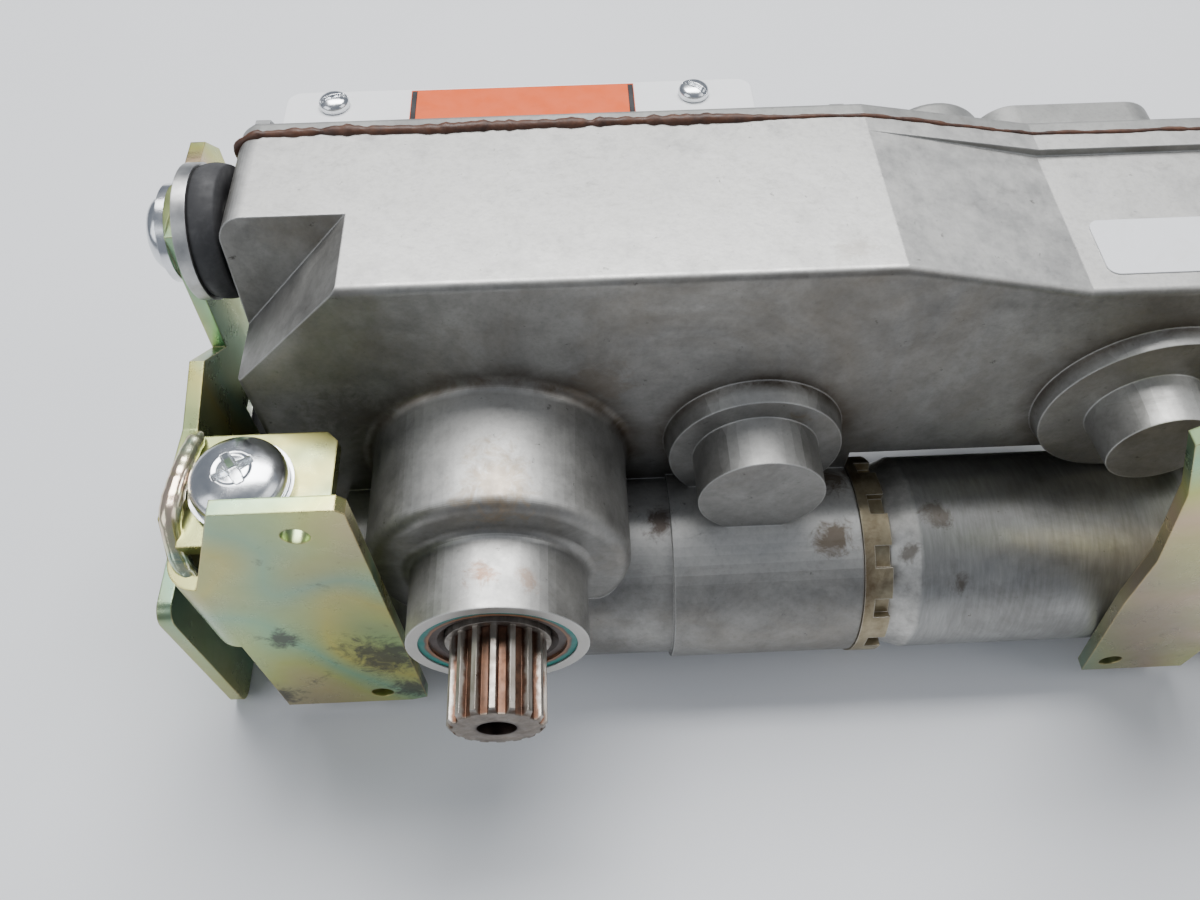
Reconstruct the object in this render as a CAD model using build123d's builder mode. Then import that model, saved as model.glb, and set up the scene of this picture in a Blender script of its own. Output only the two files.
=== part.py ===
"""Motorised swing-door operator drive unit, built as separate pieces.

The unit lies on its back. X runs along the unit, Y runs along the spindle from its nose (y = 0)
into the gear case, and Z is up. The origin is the middle of the spindle's end face.
"""
from build123d import *
from math import acos, atan2, cos, hypot, pi, radians, sin, tan
import os

os.makedirs("parts", exist_ok=True)

# ---------------------------------------------------------------- driving dimensions (mm)
# Spindle and its boss
spline_d = 25.4
spline_teeth = 16
spline_depth = 1.7
spline_len = 21.9
thread_r = 5.1              # M12 tapping size in the spindle's end
thread_len = 26.0
nose_d = 48.4
nose_len = 21.2
hub_d = 73.2
hub_len = 37.7
hub_blend = 3.5

# Gear case outline, seen along the spindle
case_left = -65.0
case_right = 207.3
case_top = 73.6
case_low_top = 63.0
slope_start = 103.0
slope_end = 151.5
case_bottom = -60.0
case_step_x = 66.0
case_mid_bottom = -30.0
case_depth = 56.6
wall = 6.0
rim_height = 6.0
rim_overhang = 2.2
chamfer_size = 105.7        # the front corner is cut where z - x is more than this
chamfer_depth = 21.0
chamfer_lean = 10.0

# Cover side
gasket_t = 1.0
cover_t = 5.0
bulge_rise = 12.4
tray_left = -54.0
tray_right = 75.5
tray_top = 70.0
tray_bottom = -46.0
tray_depth = 16.6
sheet_t = 1.5

# Rack barrel and spring tube
barrel_drop = 16.5          # from the case's front face to the barrel's axis
barrel_z = -38.0
barrel_d = 60.4
barrel_neck_d = 57.4
barrel_start = -48.0
barrel_neck_end = 49.3
barrel_end = 104.7
bench_z = -68.2             # lowest level, under the barrel and the rear plates
rack_bore_d = 50.0
rack_bore_start = -43.0
ring_len = 8.2
ring_d = 61.5
ring_slots = 12
tube_d = 60.2
tube_start = 113.3
tube_end = 205.0
tube_bore_d = 51.0
spigot_d = 49.6
spigot_bore_d = 45.2
spigot_len = 21.3
spring_d = 44.0
spring_wire = 5.0
spring_turns = 11.0

# Gears and belt
gear_module = 2.0
sector_teeth = 54
pinion_teeth = 20
sector_travel = 110.0
rack_module = 2.0
rack_teeth = 18
gear_width = 14.0
sector_floor = 11.0         # the sector chamber's floor, clear of the rack bore
rear_bearing_w = 12.0
lay_bearing_w = 9.0
tooth_thinning = 0.36       # running play taken off each tooth's thickness
layshaft_angle = 5.96       # direction of the layshaft from the spindle, degrees above X
big_pulley_r = 28.1
motor_pulley_r = 9.0
idler_r = 12.6
belt_gap = 0.4
belt_t = 1.8
belt_width = 15.0

# Shaft bosses on the front face
boss2_d, boss2_h, boss2_cap_d, boss2_cap_h = 49.0, 6.75, 35.6, 21.7
boss3_d, boss3_h, boss3_cap_d, boss3_cap_h = 55.6, 5.1, 31.0, 18.8
motor_x, motor_z = 181.5, 19.9
motor_d = 44.0
motor_len = 33.0

# End brackets
plate_t = 4.0
mount_gap = 11.7            # from the case's end to the inner face of a bracket's leg
flange_clearance = 0.3      # between the barrel or spring tube and the flange in front of it
flange_top = 60.0
left_flange_edge = -28.0
flange_hole_x = -41.0
right_hole_x = 188.0
flange_hole_mid_z = -1.6
flange_hole_spacing = 101.6
flange_hole_r = 3.4
bend_outer_r = 8.7
back_plate_offset = 11.9
mount_y_offset = 39.5       # rubber mounts, measured back from the case's front face
front_mount_z = (56.5, 45.5)  # left end, right end
back_mount_z = (-38.0, -16.0)
mount_d = 35.0

running = 0.05              # radial clearance of a running fit
clear = 0.4                 # gap between moving curved faces that don't bear on each other

# ---------------------------------------------------------------- sizes that follow
front_y = spline_len + nose_len + hub_len
joint_y = front_y + case_depth
cover_y = joint_y + gasket_t
cover_out_y = cover_y + cover_t
barrel_y = front_y - barrel_drop
flange_drop = barrel_drop + barrel_d / 2 + flange_clearance + plate_t
flange_y = front_y - flange_drop
mount_y = front_y + mount_y_offset
layshaft_r = gear_module * (sector_teeth + pinion_teeth) / 2
lay_x = layshaft_r * cos(radians(layshaft_angle))
lay_z = layshaft_r * sin(radians(layshaft_angle))
rack_pitch_r = rack_module * rack_teeth / 2
sector_tip_r = gear_module * (sector_teeth + 2) / 2
sector_y = front_y + sector_floor + 1.0
gear_end = sector_y + gear_width
rear_bearing_y = gear_end + 1.5
belt_y = gear_end + 4.0
lay_front_y = front_y - 5.4
lay_rear_y = belt_y + belt_width + 4.5
pinion_y0, pinion_y1 = barrel_y - 9.3, barrel_y + 8.7
seal_y = spline_len + 0.6
nose_bearing_y = seal_y + 6.1
nose_bearing_w = 9.0
nose_seat_r = 21.0
ends = ((-1, case_left), (1, case_right))
mount_points = [
    (end, mount_y, pair[0 if side < 0 else 1])
    for side, end in ends for pair in (front_mount_z, back_mount_z)
]


def at_y(y):
    """Sketch plane square to the spindle: local x is X, local y is Z, extruding goes to -Y."""
    return Plane(origin=(0, y, 0), x_dir=(1, 0, 0), z_dir=(0, -1, 0))


def at_x(x):
    """Sketch plane square to X: local x is Y, local y is Z, extruding goes to +X."""
    return Plane(origin=(x, 0, 0), x_dir=(0, 1, 0), z_dir=(1, 0, 0))


def finish(part, name):
    """Label a finished piece and write its STEP file."""
    part.label = name
    export_step(part, "parts/" + name + ".step")


def ring_y(name, x, z, y0, y1, outer_r, inner_r):
    """A plain ring or disc whose axis is along Y."""
    with BuildPart() as ring:
        with BuildSketch(at_y(y1)):
            with Locations((x, z)):
                Circle(outer_r)
                if inner_r:
                    Circle(inner_r, mode=Mode.SUBTRACT)
        extrude(amount=y1 - y0)
    finish(ring.part, name)
    return ring.part


def tooth_points(teeth, module, first, last, phase, root_extra=0.25):
    """Outline points of gear teeth first..last, tooth 0 centred on phase degrees."""
    pitch_r = teeth * module / 2
    base_r = pitch_r * cos(radians(20))
    root_r = pitch_r - module * (1 + root_extra)
    tip_r = pitch_r + module

    def half_angle(r):
        involute = tan(acos(min(1, base_r / r))) - acos(min(1, base_r / r))
        at_pitch = tan(radians(20)) - radians(20)
        return pi / (2 * teeth) - tooth_thinning / (2 * pitch_r) + at_pitch - involute

    radii = [max(base_r, root_r + 0.2), pitch_r - module * 0.3, pitch_r + module * 0.4, tip_r]
    points = []
    for number in range(first, last + 1):
        middle = radians(phase) + 2 * pi * number / teeth
        root_half = (half_angle(radii[0]) + pi / teeth) / 2
        flank = [(root_r, root_half)] + [(r, half_angle(r)) for r in radii]
        for r, half in flank:
            points.append((r * cos(middle - half), r * sin(middle - half)))
        for r, half in reversed(flank):
            points.append((r * cos(middle + half), r * sin(middle + half)))
    return points


def ball_bearing(name, x, z, starts, width, bore_r, outer_r):
    """Outer ring, inner ring and balls as three nodes, one bearing at each y in starts."""
    middle_r = (bore_r + outer_r) / 2
    gap = (outer_r - bore_r) * 0.27
    for ring_name, big, small in (
        ("_outer_ring", outer_r, middle_r + gap), ("_inner_ring", middle_r - gap, bore_r),
    ):
        with BuildPart() as ring:
            for y0 in starts:
                with BuildSketch(at_y(y0 + width)):
                    with Locations((x, z)):
                        Circle(big)
                        Circle(small, mode=Mode.SUBTRACT)
                extrude(amount=width)
        finish(ring.part, name + ring_name)
    with BuildPart() as balls:
        for y0 in starts:
            with Locations(Location((x, y0 + width / 2, z), (90, 0, 0))):
                with PolarLocations(middle_r, 9):
                    Sphere(gap - 0.35)
    finish(balls.part, name + "_balls")


# ---------------------------------------------------------------- belt run, used by case and cover
belt_big_r = big_pulley_r + belt_gap
belt_small_r = motor_pulley_r + belt_gap


def tangent_normal(r_a, r_b, side):
    """Unit normal of the outer tangent of the two pulley circles, side +1 above, -1 below."""
    dx, dz = motor_x - lay_x, motor_z - lay_z
    angle = atan2(dz, dx) + side * acos((r_a - r_b) / hypot(dx, dz))
    return cos(angle), sin(angle)


def belt_loop(grow):
    """Belt loop outline drawn in the current sketch, grown outwards by grow."""
    r_a, r_b = belt_big_r + grow, belt_small_r + grow
    up = tangent_normal(r_a, r_b, 1)
    down = tangent_normal(r_a, r_b, -1)
    a_up = (lay_x + r_a * up[0], lay_z + r_a * up[1])
    b_up = (motor_x + r_b * up[0], motor_z + r_b * up[1])
    a_down = (lay_x + r_a * down[0], lay_z + r_a * down[1])
    b_down = (motor_x + r_b * down[0], motor_z + r_b * down[1])
    with BuildLine() as loop:
        Line(a_up, b_up)
        ThreePointArc(b_up, (motor_x + r_b, motor_z), b_down)
        Line(b_down, a_down)
        ThreePointArc(a_down, (lay_x - r_a, lay_z), a_up)
    make_face(loop.edges())


idler_share = 0.5
idler_up = tangent_normal(belt_big_r + belt_t, belt_small_r + belt_t, 1)
idler_reach = belt_t + idler_r + belt_gap
idler_x = lay_x + (motor_x - lay_x) * idler_share
idler_line_r = belt_big_r + (belt_small_r - belt_big_r) * idler_share
idler_x += idler_up[0] * (idler_line_r + idler_reach)
idler_z = lay_z + (motor_z - lay_z) * idler_share + idler_up[1] * (idler_line_r + idler_reach)


def case_outline(rim=False):
    """Gear case outline drawn in the current sketch; rim adds the lip on the low part."""
    low = case_low_top + (rim_overhang if rim else 0)
    right = case_right
    with BuildLine() as outline:
        Polyline(
            (case_left, case_top), (slope_start, case_top), (slope_end, low), (right, low),
            (right, case_mid_bottom), (case_step_x, case_mid_bottom),
            (case_step_x, case_bottom), (case_left, case_bottom), close=True,
        )
    face = make_face(outline.edges())
    fillet([v for v in face.vertices() if v.X < case_left + 1 or v.X > case_right - 1], 7)


# ---------------------------------------------------------------- gear case casting
with BuildPart() as wedge:
    with BuildSketch(at_y(front_y + chamfer_depth + 8)):
        with BuildLine():
            Polyline(
                (case_top + 3 - chamfer_size, case_top + 3), (case_left - 5, case_top + 3),
                (case_left - 5, case_left - 5 + chamfer_size), close=True,
            )
        make_face()
    extrude(amount=chamfer_depth + 9)
    lean = radians(chamfer_lean)
    split(
        bisect_by=Plane(
            origin=(0, front_y + chamfer_depth, case_top - 28),
            x_dir=(1, 0, 0), z_dir=(0, cos(lean), -sin(lean)),
        ),
        keep=Keep.BOTTOM,
    )

with BuildPart() as housing:
    with BuildSketch(at_y(joint_y)):
        case_outline()
    extrude(amount=case_depth)
    front_edges = housing.faces().sort_by(Axis.Y)[0].edges()
    fillet(front_edges, 2.2)
    # Lip under the gasket on the low part
    with BuildSketch(at_y(joint_y)):
        with BuildLine():
            Polyline(
                (slope_start, case_top), (slope_end, case_low_top + rim_overhang),
                (case_right, case_low_top + rim_overhang), (case_right, case_mid_bottom - 2),
                (case_step_x + 4, case_mid_bottom - 2), (case_step_x + 4, case_mid_bottom + 6),
                (case_right - 8, case_mid_bottom + 6), (case_right - 8, case_low_top - 6),
                (slope_start, case_top - 16), close=True,
            )
        make_face()
    extrude(amount=rim_height)
    add(wedge.part, mode=Mode.SUBTRACT)
    # Spindle boss: hub, shoulder and nose as one turned profile
    with BuildSketch(Plane.XY):
        with BuildLine():
            boss_r, nose_r = hub_d / 2, nose_d / 2
            step_y = front_y - hub_len
            Line((0, front_y + 1), (boss_r + hub_blend, front_y + 1))
            Line((boss_r + hub_blend, front_y + 1), (boss_r + hub_blend, front_y))
            RadiusArc((boss_r + hub_blend, front_y), (boss_r, front_y - hub_blend), -hub_blend)
            Line((boss_r, front_y - hub_blend), (boss_r, step_y + 4))
            RadiusArc((boss_r, step_y + 4), (boss_r - 4, step_y), 4)
            Line((boss_r - 4, step_y), (nose_r + 2.5, step_y))
            RadiusArc((nose_r + 2.5, step_y), (nose_r, step_y - 2.5), -2.5)
            Line((nose_r, step_y - 2.5), (nose_r, spline_len))
            Line((nose_r, spline_len), (0, spline_len))
            Line((0, spline_len), (0, front_y + 1))
        make_face()
    revolve(axis=Axis.Y)
    # Rack barrel under the boss, thicker towards its open end
    with BuildSketch(at_x(barrel_start)):
        with Locations((barrel_y, barrel_z)):
            Circle(barrel_neck_d / 2)
    extrude(amount=barrel_end - 3 - barrel_start)
    with BuildSketch(at_x(barrel_neck_end)):
        with Locations((barrel_y, barrel_z)):
            Circle(barrel_d / 2)
    extrude(amount=barrel_end - barrel_neck_end)
    # Stepped shaft bosses
    for x, z, d, h, cap_d, cap_h, cap_taper in (
        (lay_x, lay_z, boss2_d, boss2_h, boss2_cap_d, boss2_cap_h, 0.5),
        (motor_x, motor_z, boss3_d, boss3_h, boss3_cap_d, boss3_cap_h, 6),
    ):
        with BuildSketch(at_y(front_y + 1)):
            with Locations((x, z)):
                Circle(d / 2 + 1.4)
        extrude(amount=h + 1, taper=9)
        with BuildSketch(at_y(front_y + 1)):
            with Locations((x, z)):
                Circle(cap_d / 2 + (0.8 if cap_taper > 1 else 0.2))
        extrude(amount=cap_h + 1, taper=cap_taper)
    # Seats for the rubber mounts on both ends
    for x, y, z in mount_points:
        with Locations(Location((x, y, z), (0, 90, 0))):
            Cylinder(9, 2 * 1.0)
    # Open the underside where the lock ring and the spring tube pass
    relief_start, relief_top, relief_depth = barrel_end + 0.1, -4.5, 17.0
    with Locations((
        (relief_start + case_right + 2) / 2, front_y + (relief_depth - 1) / 2,
        (relief_top + case_mid_bottom - 2) / 2,
    )):
        Box(
            case_right + 2 - relief_start, relief_depth + 1, relief_top - case_mid_bottom + 2,
            mode=Mode.SUBTRACT,
        )
    # Seal and front bearing seat, spindle passage and rack pinion chamber
    pinion_tip_r = rack_pitch_r + rack_module
    for r, y0, y1 in (
        (nose_seat_r, spline_len - 1, nose_bearing_y + nose_bearing_w),
        (15.0, spline_len, front_y + sector_floor + 1),
        (pinion_tip_r + 1.5, pinion_y0 - 1.5, pinion_y1 + 2),
    ):
        with BuildSketch(at_y(y1)):
            Circle(r)
        extrude(amount=y1 - y0, mode=Mode.SUBTRACT)
    # Bore for the rack piston and the spring
    with BuildSketch(at_x(rack_bore_start)):
        with Locations((barrel_y, barrel_z)):
            Circle(rack_bore_d / 2)
    extrude(amount=barrel_end + 1 - rack_bore_start, mode=Mode.SUBTRACT)
    # Sector chamber
    with BuildSketch(at_y(joint_y + 1)):
        Circle(sector_tip_r + 1)
    extrude(amount=case_depth + 1 - sector_floor, mode=Mode.SUBTRACT)
    # Layshaft and belt chamber
    with BuildSketch(at_y(joint_y + 1)):
        with Locations((lay_x, lay_z)):
            Circle(gear_module * (pinion_teeth + 2) / 2 + 1.5)
    extrude(amount=case_depth + 1 - wall, mode=Mode.SUBTRACT)
    with BuildSketch(at_y(joint_y + 1)):
        belt_loop(belt_t + 2.6)
        with Locations((idler_x, idler_z)):
            Circle(idler_r + 1.8)
    extrude(amount=joint_y + 1 - (belt_y - 3), mode=Mode.SUBTRACT)
    # Motor front-bearing seat and layshaft front-bearing seat
    for x, z, r, y0 in (
        (lay_x, lay_z, 17.5, lay_front_y - 0.1), (motor_x, motor_z, 13.0, front_y - 4),
    ):
        with BuildSketch(at_y(belt_y)):
            with Locations((x, z)):
                Circle(r)
        extrude(amount=belt_y - y0, mode=Mode.SUBTRACT)
    for x, z, r in ((lay_x, lay_z, 9.5), (motor_x, motor_z, 7.0)):
        with BuildSketch(at_y(front_y)):
            with Locations((x, z)):
                Circle(r)
        extrude(amount=9, mode=Mode.SUBTRACT)
    # Motor can pocket
    with BuildSketch(at_y(joint_y + 1)):
        with Locations((motor_x, motor_z)):
            Circle(motor_d / 2 + 1)
    extrude(amount=9, mode=Mode.SUBTRACT)
    # Idler bolt hole, mount bolt holes
    with BuildSketch(at_y(belt_y - 2)):
        with Locations((idler_x, idler_z)):
            Circle(4)
    extrude(amount=16, mode=Mode.SUBTRACT)
    for x, y, z in mount_points:
        with Locations(Location((x, y, z), (0, 90, 0))):
            Cylinder(5, 2 * 9, mode=Mode.SUBTRACT)

cover_screw_points = [
    (case_left + 6, case_top - 6), (98, case_top - 7),
    (case_left + 5.6, 0), (case_left + 7, case_bottom + 7), (case_step_x - 6, case_bottom + 7),
    (100, case_mid_bottom + 5), (158, case_mid_bottom + 5), (case_right - 6, case_mid_bottom + 7),
    (case_right - 6, case_low_top - 8),
]
with BuildPart() as housing_tapped:
    add(housing.part)
    with BuildSketch(at_y(joint_y + 1)):
        with Locations(*cover_screw_points):
            Circle(2.1)
    extrude(amount=15, mode=Mode.SUBTRACT)
finish(housing_tapped.part, "housing")

# ---------------------------------------------------------------- gasket and cover
with BuildPart() as gasket:
    with BuildSketch(at_y(cover_y)):
        case_outline(rim=True)
    extrude(amount=gasket_t)
    with BuildSketch(at_y(cover_y + 1)):
        Circle(sector_tip_r + 1)
        belt_loop(belt_t + 2.6)
        with Locations((idler_x, idler_z)):
            Circle(idler_r + 1.8)
        with Locations((motor_x, motor_z)):
            Circle(motor_d / 2 + 1)
        with Locations(*cover_screw_points):
            Circle(2.7)
    extrude(amount=gasket_t + 2, mode=Mode.SUBTRACT)
finish(gasket.part, "gasket")

bulge_y = cover_out_y + bulge_rise
with BuildPart() as cover:
    with BuildSketch(at_y(cover_out_y)):
        case_outline(rim=True)
    extrude(amount=cover_t)
    fillet(cover.faces().sort_by(Axis.Y)[-1].edges(), 1.6)
    # Idler boss and motor collar
    with BuildSketch(at_y(cover_out_y - 1)):
        with Locations((idler_x, idler_z)):
            Circle(16.5)
    extrude(amount=-(bulge_rise + 1))
    fillet(cover.faces().sort_by(Axis.Y)[-1].edges(), 2.5)
    with BuildSketch(at_y(cover_out_y - 1)):
        with Locations(((142 + 196) / 2, 30)):
            RectangleRounded(54, 62, 11)
        with Locations((motor_x, motor_z)):
            Circle(motor_d / 2 + 3)
    extrude(amount=-(bulge_rise + 1))
    # Inner bosses that hold the rear bearings
    for x, z, r, y0 in ((0, 0, 24.5, rear_bearing_y - 0.5), (lay_x, lay_z, 21.5, lay_rear_y - 0.5)):
        with BuildSketch(at_y(cover_y + 1)):
            with Locations((x, z)):
                Circle(r)
        extrude(amount=cover_y + 1 - y0)
    for x, z, r, y0, y1 in (
        (0, 0, 20.0, rear_bearing_y - 1.5, rear_bearing_y + rear_bearing_w + 0.5),
        (0, 0, 12.0, rear_bearing_y - 1.5, rear_bearing_y + rear_bearing_w + 10.5),
        (lay_x, lay_z, 17.5, lay_rear_y - 1.5, lay_rear_y + lay_bearing_w + 1.1),
        (motor_x, motor_z, motor_d / 2 + 0.3, cover_y - 1, bulge_y + 1),
        (idler_x, idler_z, 4.0, cover_y - 1, cover_y + 8),
    ):
        with BuildSketch(at_y(y1)):
            with Locations((x, z)):
                Circle(r)
        extrude(amount=y1 - y0, mode=Mode.SUBTRACT)
    with BuildSketch(at_y(cover_out_y + 1)):
        with Locations(*cover_screw_points):
            Circle(2.7)
    extrude(amount=cover_t + 2, mode=Mode.SUBTRACT)
finish(cover.part, "cover")

with BuildPart() as cover_screws:
    with BuildSketch(at_y(cover_out_y)):
        with Locations(*cover_screw_points):
            Circle(2.1)
    extrude(amount=cover_t + gasket_t + 12)
    with BuildSketch(at_y(cover_out_y + 4)):
        with Locations(*cover_screw_points):
            RegularPolygon(3.9, 6)
    extrude(amount=3.0)
    with BuildSketch(at_y(cover_out_y + 1.2)):
        with Locations(*cover_screw_points):
            Circle(4.5)
    extrude(amount=1.2)
finish(cover_screws.part, "cover_screws")

# ---------------------------------------------------------------- spindle and what turns with it
root_r = spline_d / 2 - spline_depth
with BuildPart() as spindle:
    with BuildSketch(at_y(spline_len + 1)):
        Circle(root_r)
        with PolarLocations(root_r + spline_depth / 2 - 0.3, spline_teeth):
            Trapezoid(2.9, spline_depth + 0.6, 72, rotation=-90)
    extrude(amount=spline_len + 1)
    with BuildSketch(at_y(0)):
        Circle(spline_d / 2 + 2)
        Circle(spline_d / 2 - 1.1, mode=Mode.SUBTRACT)
    extrude(amount=-4, taper=45, mode=Mode.SUBTRACT)
    for r, y0, y1 in (
        (14.0, seal_y + 0.2, seal_y + 4.5),
        (12.5, seal_y + 4, pinion_y0 + 1),
        (12.0, pinion_y1 - 1, rear_bearing_y - 0.5),
        (8.5, rear_bearing_y - 1.5, rear_bearing_y + rear_bearing_w),
    ):
        with BuildSketch(at_y(y1)):
            Circle(r)
        extrude(amount=y1 - y0)
    with BuildSketch(at_y(pinion_y1)):
        with BuildLine():
            Polyline(*tooth_points(rack_teeth, rack_module, 0, rack_teeth - 1, -90), close=True)
        make_face()
    extrude(amount=pinion_y1 - pinion_y0)
    with BuildSketch(at_y(thread_len)):
        Circle(thread_r)
    extrude(amount=thread_len + 1, mode=Mode.SUBTRACT)
    with Locations((0, sector_y + gear_width / 2, 12)):
        Box(6, gear_width, 7, mode=Mode.SUBTRACT)
finish(spindle.part, "spindle")

with BuildPart() as sector:
    first = -round((sector_travel + 14) / 360 * sector_teeth)
    last = 2
    teeth = tooth_points(sector_teeth, gear_module, first, last, layshaft_angle)
    angle_0 = atan2(teeth[0][1], teeth[0][0])
    angle_1 = atan2(teeth[-1][1], teeth[-1][0])
    middle = (angle_0 + angle_1) / 2
    hub_r = 20.0
    hub_start = (hub_r * cos(angle_1), hub_r * sin(angle_1))
    hub_far = (-hub_r * cos(middle), -hub_r * sin(middle))
    hub_end = (hub_r * cos(angle_0), hub_r * sin(angle_0))
    with BuildSketch(at_y(gear_end)):
        with BuildLine():
            Polyline(hub_end, *teeth, hub_start)
            ThreePointArc(hub_start, hub_far, hub_end)
        make_face()
    extrude(amount=gear_width)
    with BuildSketch(at_y(gear_end + 1)):
        Circle(12)
        with Locations((0, 12)):
            Rectangle(6, 6)
        for turn in (-0.62, 0, 0.62):
            with Locations((35 * cos(middle + turn), 35 * sin(middle + turn))):
                Circle(7.5)
    extrude(amount=gear_width + 2, mode=Mode.SUBTRACT)
finish(sector.part, "sector_gear")

with BuildPart() as key:
    with Locations((0, sector_y + gear_width / 2, 11.75)):
        Box(5.98, gear_width, 6.4)
finish(key.part, "sector_key")

ball_bearing("front_bearing", 0, 0, (nose_bearing_y,), nose_bearing_w, 12.5, nose_seat_r)
ball_bearing("rear_bearing", 0, 0, (rear_bearing_y,), rear_bearing_w, 8.5, 20.0)
ball_bearing(
    "layshaft_bearing", lay_x, lay_z, (lay_front_y, lay_rear_y), lay_bearing_w, 7.5, 17.5
)
ring_y("seal_case", 0, 0, seal_y, seal_y + 4, nose_seat_r, 18.2)
with BuildPart() as lip:
    with BuildSketch(Plane.XY):
        with BuildLine():
            Polyline(
                (18.2, seal_y + 0.8), (16.0, seal_y + 0.8), (14.3, seal_y + 2.4),
                (14.3, seal_y + 3.0), (16.0, seal_y + 4), (18.2, seal_y + 4),
                close=True,
            )
        make_face()
    revolve(axis=Axis.Y)
finish(lip.part, "seal_lip")

# ---------------------------------------------------------------- rack, spring and spring tube
rack_r = rack_bore_d / 2 - clear
rack_left, rack_right = rack_bore_start + 1.5, 46.0
slot_right = 16.0
rack_tip_z = -rack_pitch_r + rack_module
rack_root_z = -rack_pitch_r - 1.25 * rack_module
rack_width = 21.0
with BuildPart() as rack:
    with BuildSketch(at_x(rack_left)):
        with Locations((barrel_y, barrel_z)):
            Circle(rack_r)
    extrude(amount=rack_right - rack_left)
    with Locations(((rack_left - 1 + slot_right) / 2, barrel_y, rack_root_z + rack_r / 2)):
        Box(slot_right - rack_left + 1, 2 * rack_r + 2, rack_r, mode=Mode.SUBTRACT)
    pitch = pi * rack_module
    half_root = pitch / 4 - tooth_thinning / 2 + tan(radians(20)) * 1.25 * rack_module
    half_tip = pitch / 4 - tooth_thinning / 2 - tan(radians(20)) * rack_module
    with BuildSketch(at_y(barrel_y + rack_width / 2)):
        for number in range(-6, 2):
            middle = pitch * (number + 0.5)
            with BuildLine():
                Polyline(
                    (middle - half_root, rack_root_z - 0.3), (middle - half_root, rack_root_z),
                    (middle - half_tip, rack_tip_z), (middle + half_tip, rack_tip_z),
                    (middle + half_root, rack_root_z), (middle + half_root, rack_root_z - 0.3),
                    close=True,
                )
            make_face()
    extrude(amount=rack_width)
    # Hollow behind the spring plate, which lightens the piston
    with BuildSketch(at_x(slot_right + 6)):
        with Locations((barrel_y, barrel_z)):
            Circle(rack_r - 7)
    extrude(amount=rack_right - slot_right, mode=Mode.SUBTRACT)
finish(rack.part, "rack_piston")


def disc_x(name, x0, x1, outer_r):
    """A disc on the barrel's axis."""
    with BuildPart() as disc:
        with BuildSketch(at_x(x0)):
            with Locations((barrel_y, barrel_z)):
                Circle(outer_r)
        extrude(amount=x1 - x0)
    finish(disc.part, name)


plate_x = rack_right
seat_x = tube_end - 14
disc_x("spring_plate", plate_x, plate_x + 5, rack_r)
disc_x("spring_seat", seat_x, seat_x + 5, spring_d / 2)

spring_x0 = plate_x + 5
spring_len = seat_x - spring_x0
with BuildPart() as spring:
    spring_r = (spring_d - spring_wire) / 2
    pitch_x = (spring_len - spring_wire - 0.4) / spring_turns
    spring_start = (spring_x0 + spring_wire / 2 + 0.2, barrel_y, barrel_z)
    with BuildLine() as coil:
        Helix(
            pitch=pitch_x, height=pitch_x * spring_turns, radius=spring_r,
            center=spring_start, direction=(1, 0, 0),
        )
    with BuildSketch(Plane(origin=coil.line @ 0, z_dir=coil.line % 0)):
        Circle(spring_wire / 2)
    sweep(path=coil.line, is_frenet=True)
finish(spring.part, "compression_spring")

with BuildPart() as tube:
    with BuildSketch(Plane(origin=(0, barrel_y, barrel_z), x_dir=(1, 0, 0), z_dir=(0, 0, 1))):
        with BuildLine():
            Polyline(
                (tube_start - spigot_len, spigot_bore_d / 2), (tube_start - spigot_len, spigot_d / 2),
                (tube_start, spigot_d / 2), (tube_start, tube_d / 2 - 3.0),
                (tube_start + 8.2, tube_d / 2), (tube_end, tube_d / 2),
                (tube_end, tube_bore_d / 2), (tube_start + 9, tube_bore_d / 2),
                (tube_start + 6, spigot_bore_d / 2), close=True,
            )
        make_face()
    revolve(axis=Axis(origin=(0, barrel_y, barrel_z), direction=(1, 0, 0)))
finish(tube.part, "spring_tube")

with BuildPart() as lock_ring:
    with BuildSketch(at_x(barrel_end + 0.1)):
        with Locations((barrel_y, barrel_z)):
            Circle(ring_d / 2)
            Circle(spigot_d / 2, mode=Mode.SUBTRACT)
    extrude(amount=ring_len)
    with BuildSketch(at_x(barrel_end + 0.1 + ring_len)):
        with Locations((barrel_y, barrel_z)):
            with PolarLocations(ring_d / 2, ring_slots):
                Rectangle(5.6, 6.4)
    extrude(amount=-ring_len * 0.62, mode=Mode.SUBTRACT)
finish(lock_ring.part, "castellated_lock_ring")

with BuildPart() as end_cap:
    with BuildSketch(at_x(tube_end)):
        with Locations((barrel_y, barrel_z)):
            Circle(tube_d / 2 - 0.7)
    extrude(amount=4)
    with BuildSketch(at_x(tube_end - 6)):
        with Locations((barrel_y, barrel_z)):
            Circle(tube_bore_d / 2)
    extrude(amount=7)
    with BuildSketch(at_x(tube_end - 7)):
        with Locations((barrel_y, barrel_z)):
            Circle(5)
    extrude(amount=14, mode=Mode.SUBTRACT)
finish(end_cap.part, "spring_tube_cap")

with BuildPart() as adjuster:
    with BuildSketch(at_x(seat_x + 5)):
        with Locations((barrel_y, barrel_z)):
            Circle(5)
    extrude(amount=tube_end + 4 - seat_x - 5)
    with BuildSketch(at_x(tube_end + 4)):
        with Locations((barrel_y, barrel_z)):
            RegularPolygon(8.5, 6)
    extrude(amount=6)
finish(adjuster.part, "spring_adjuster")

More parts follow.
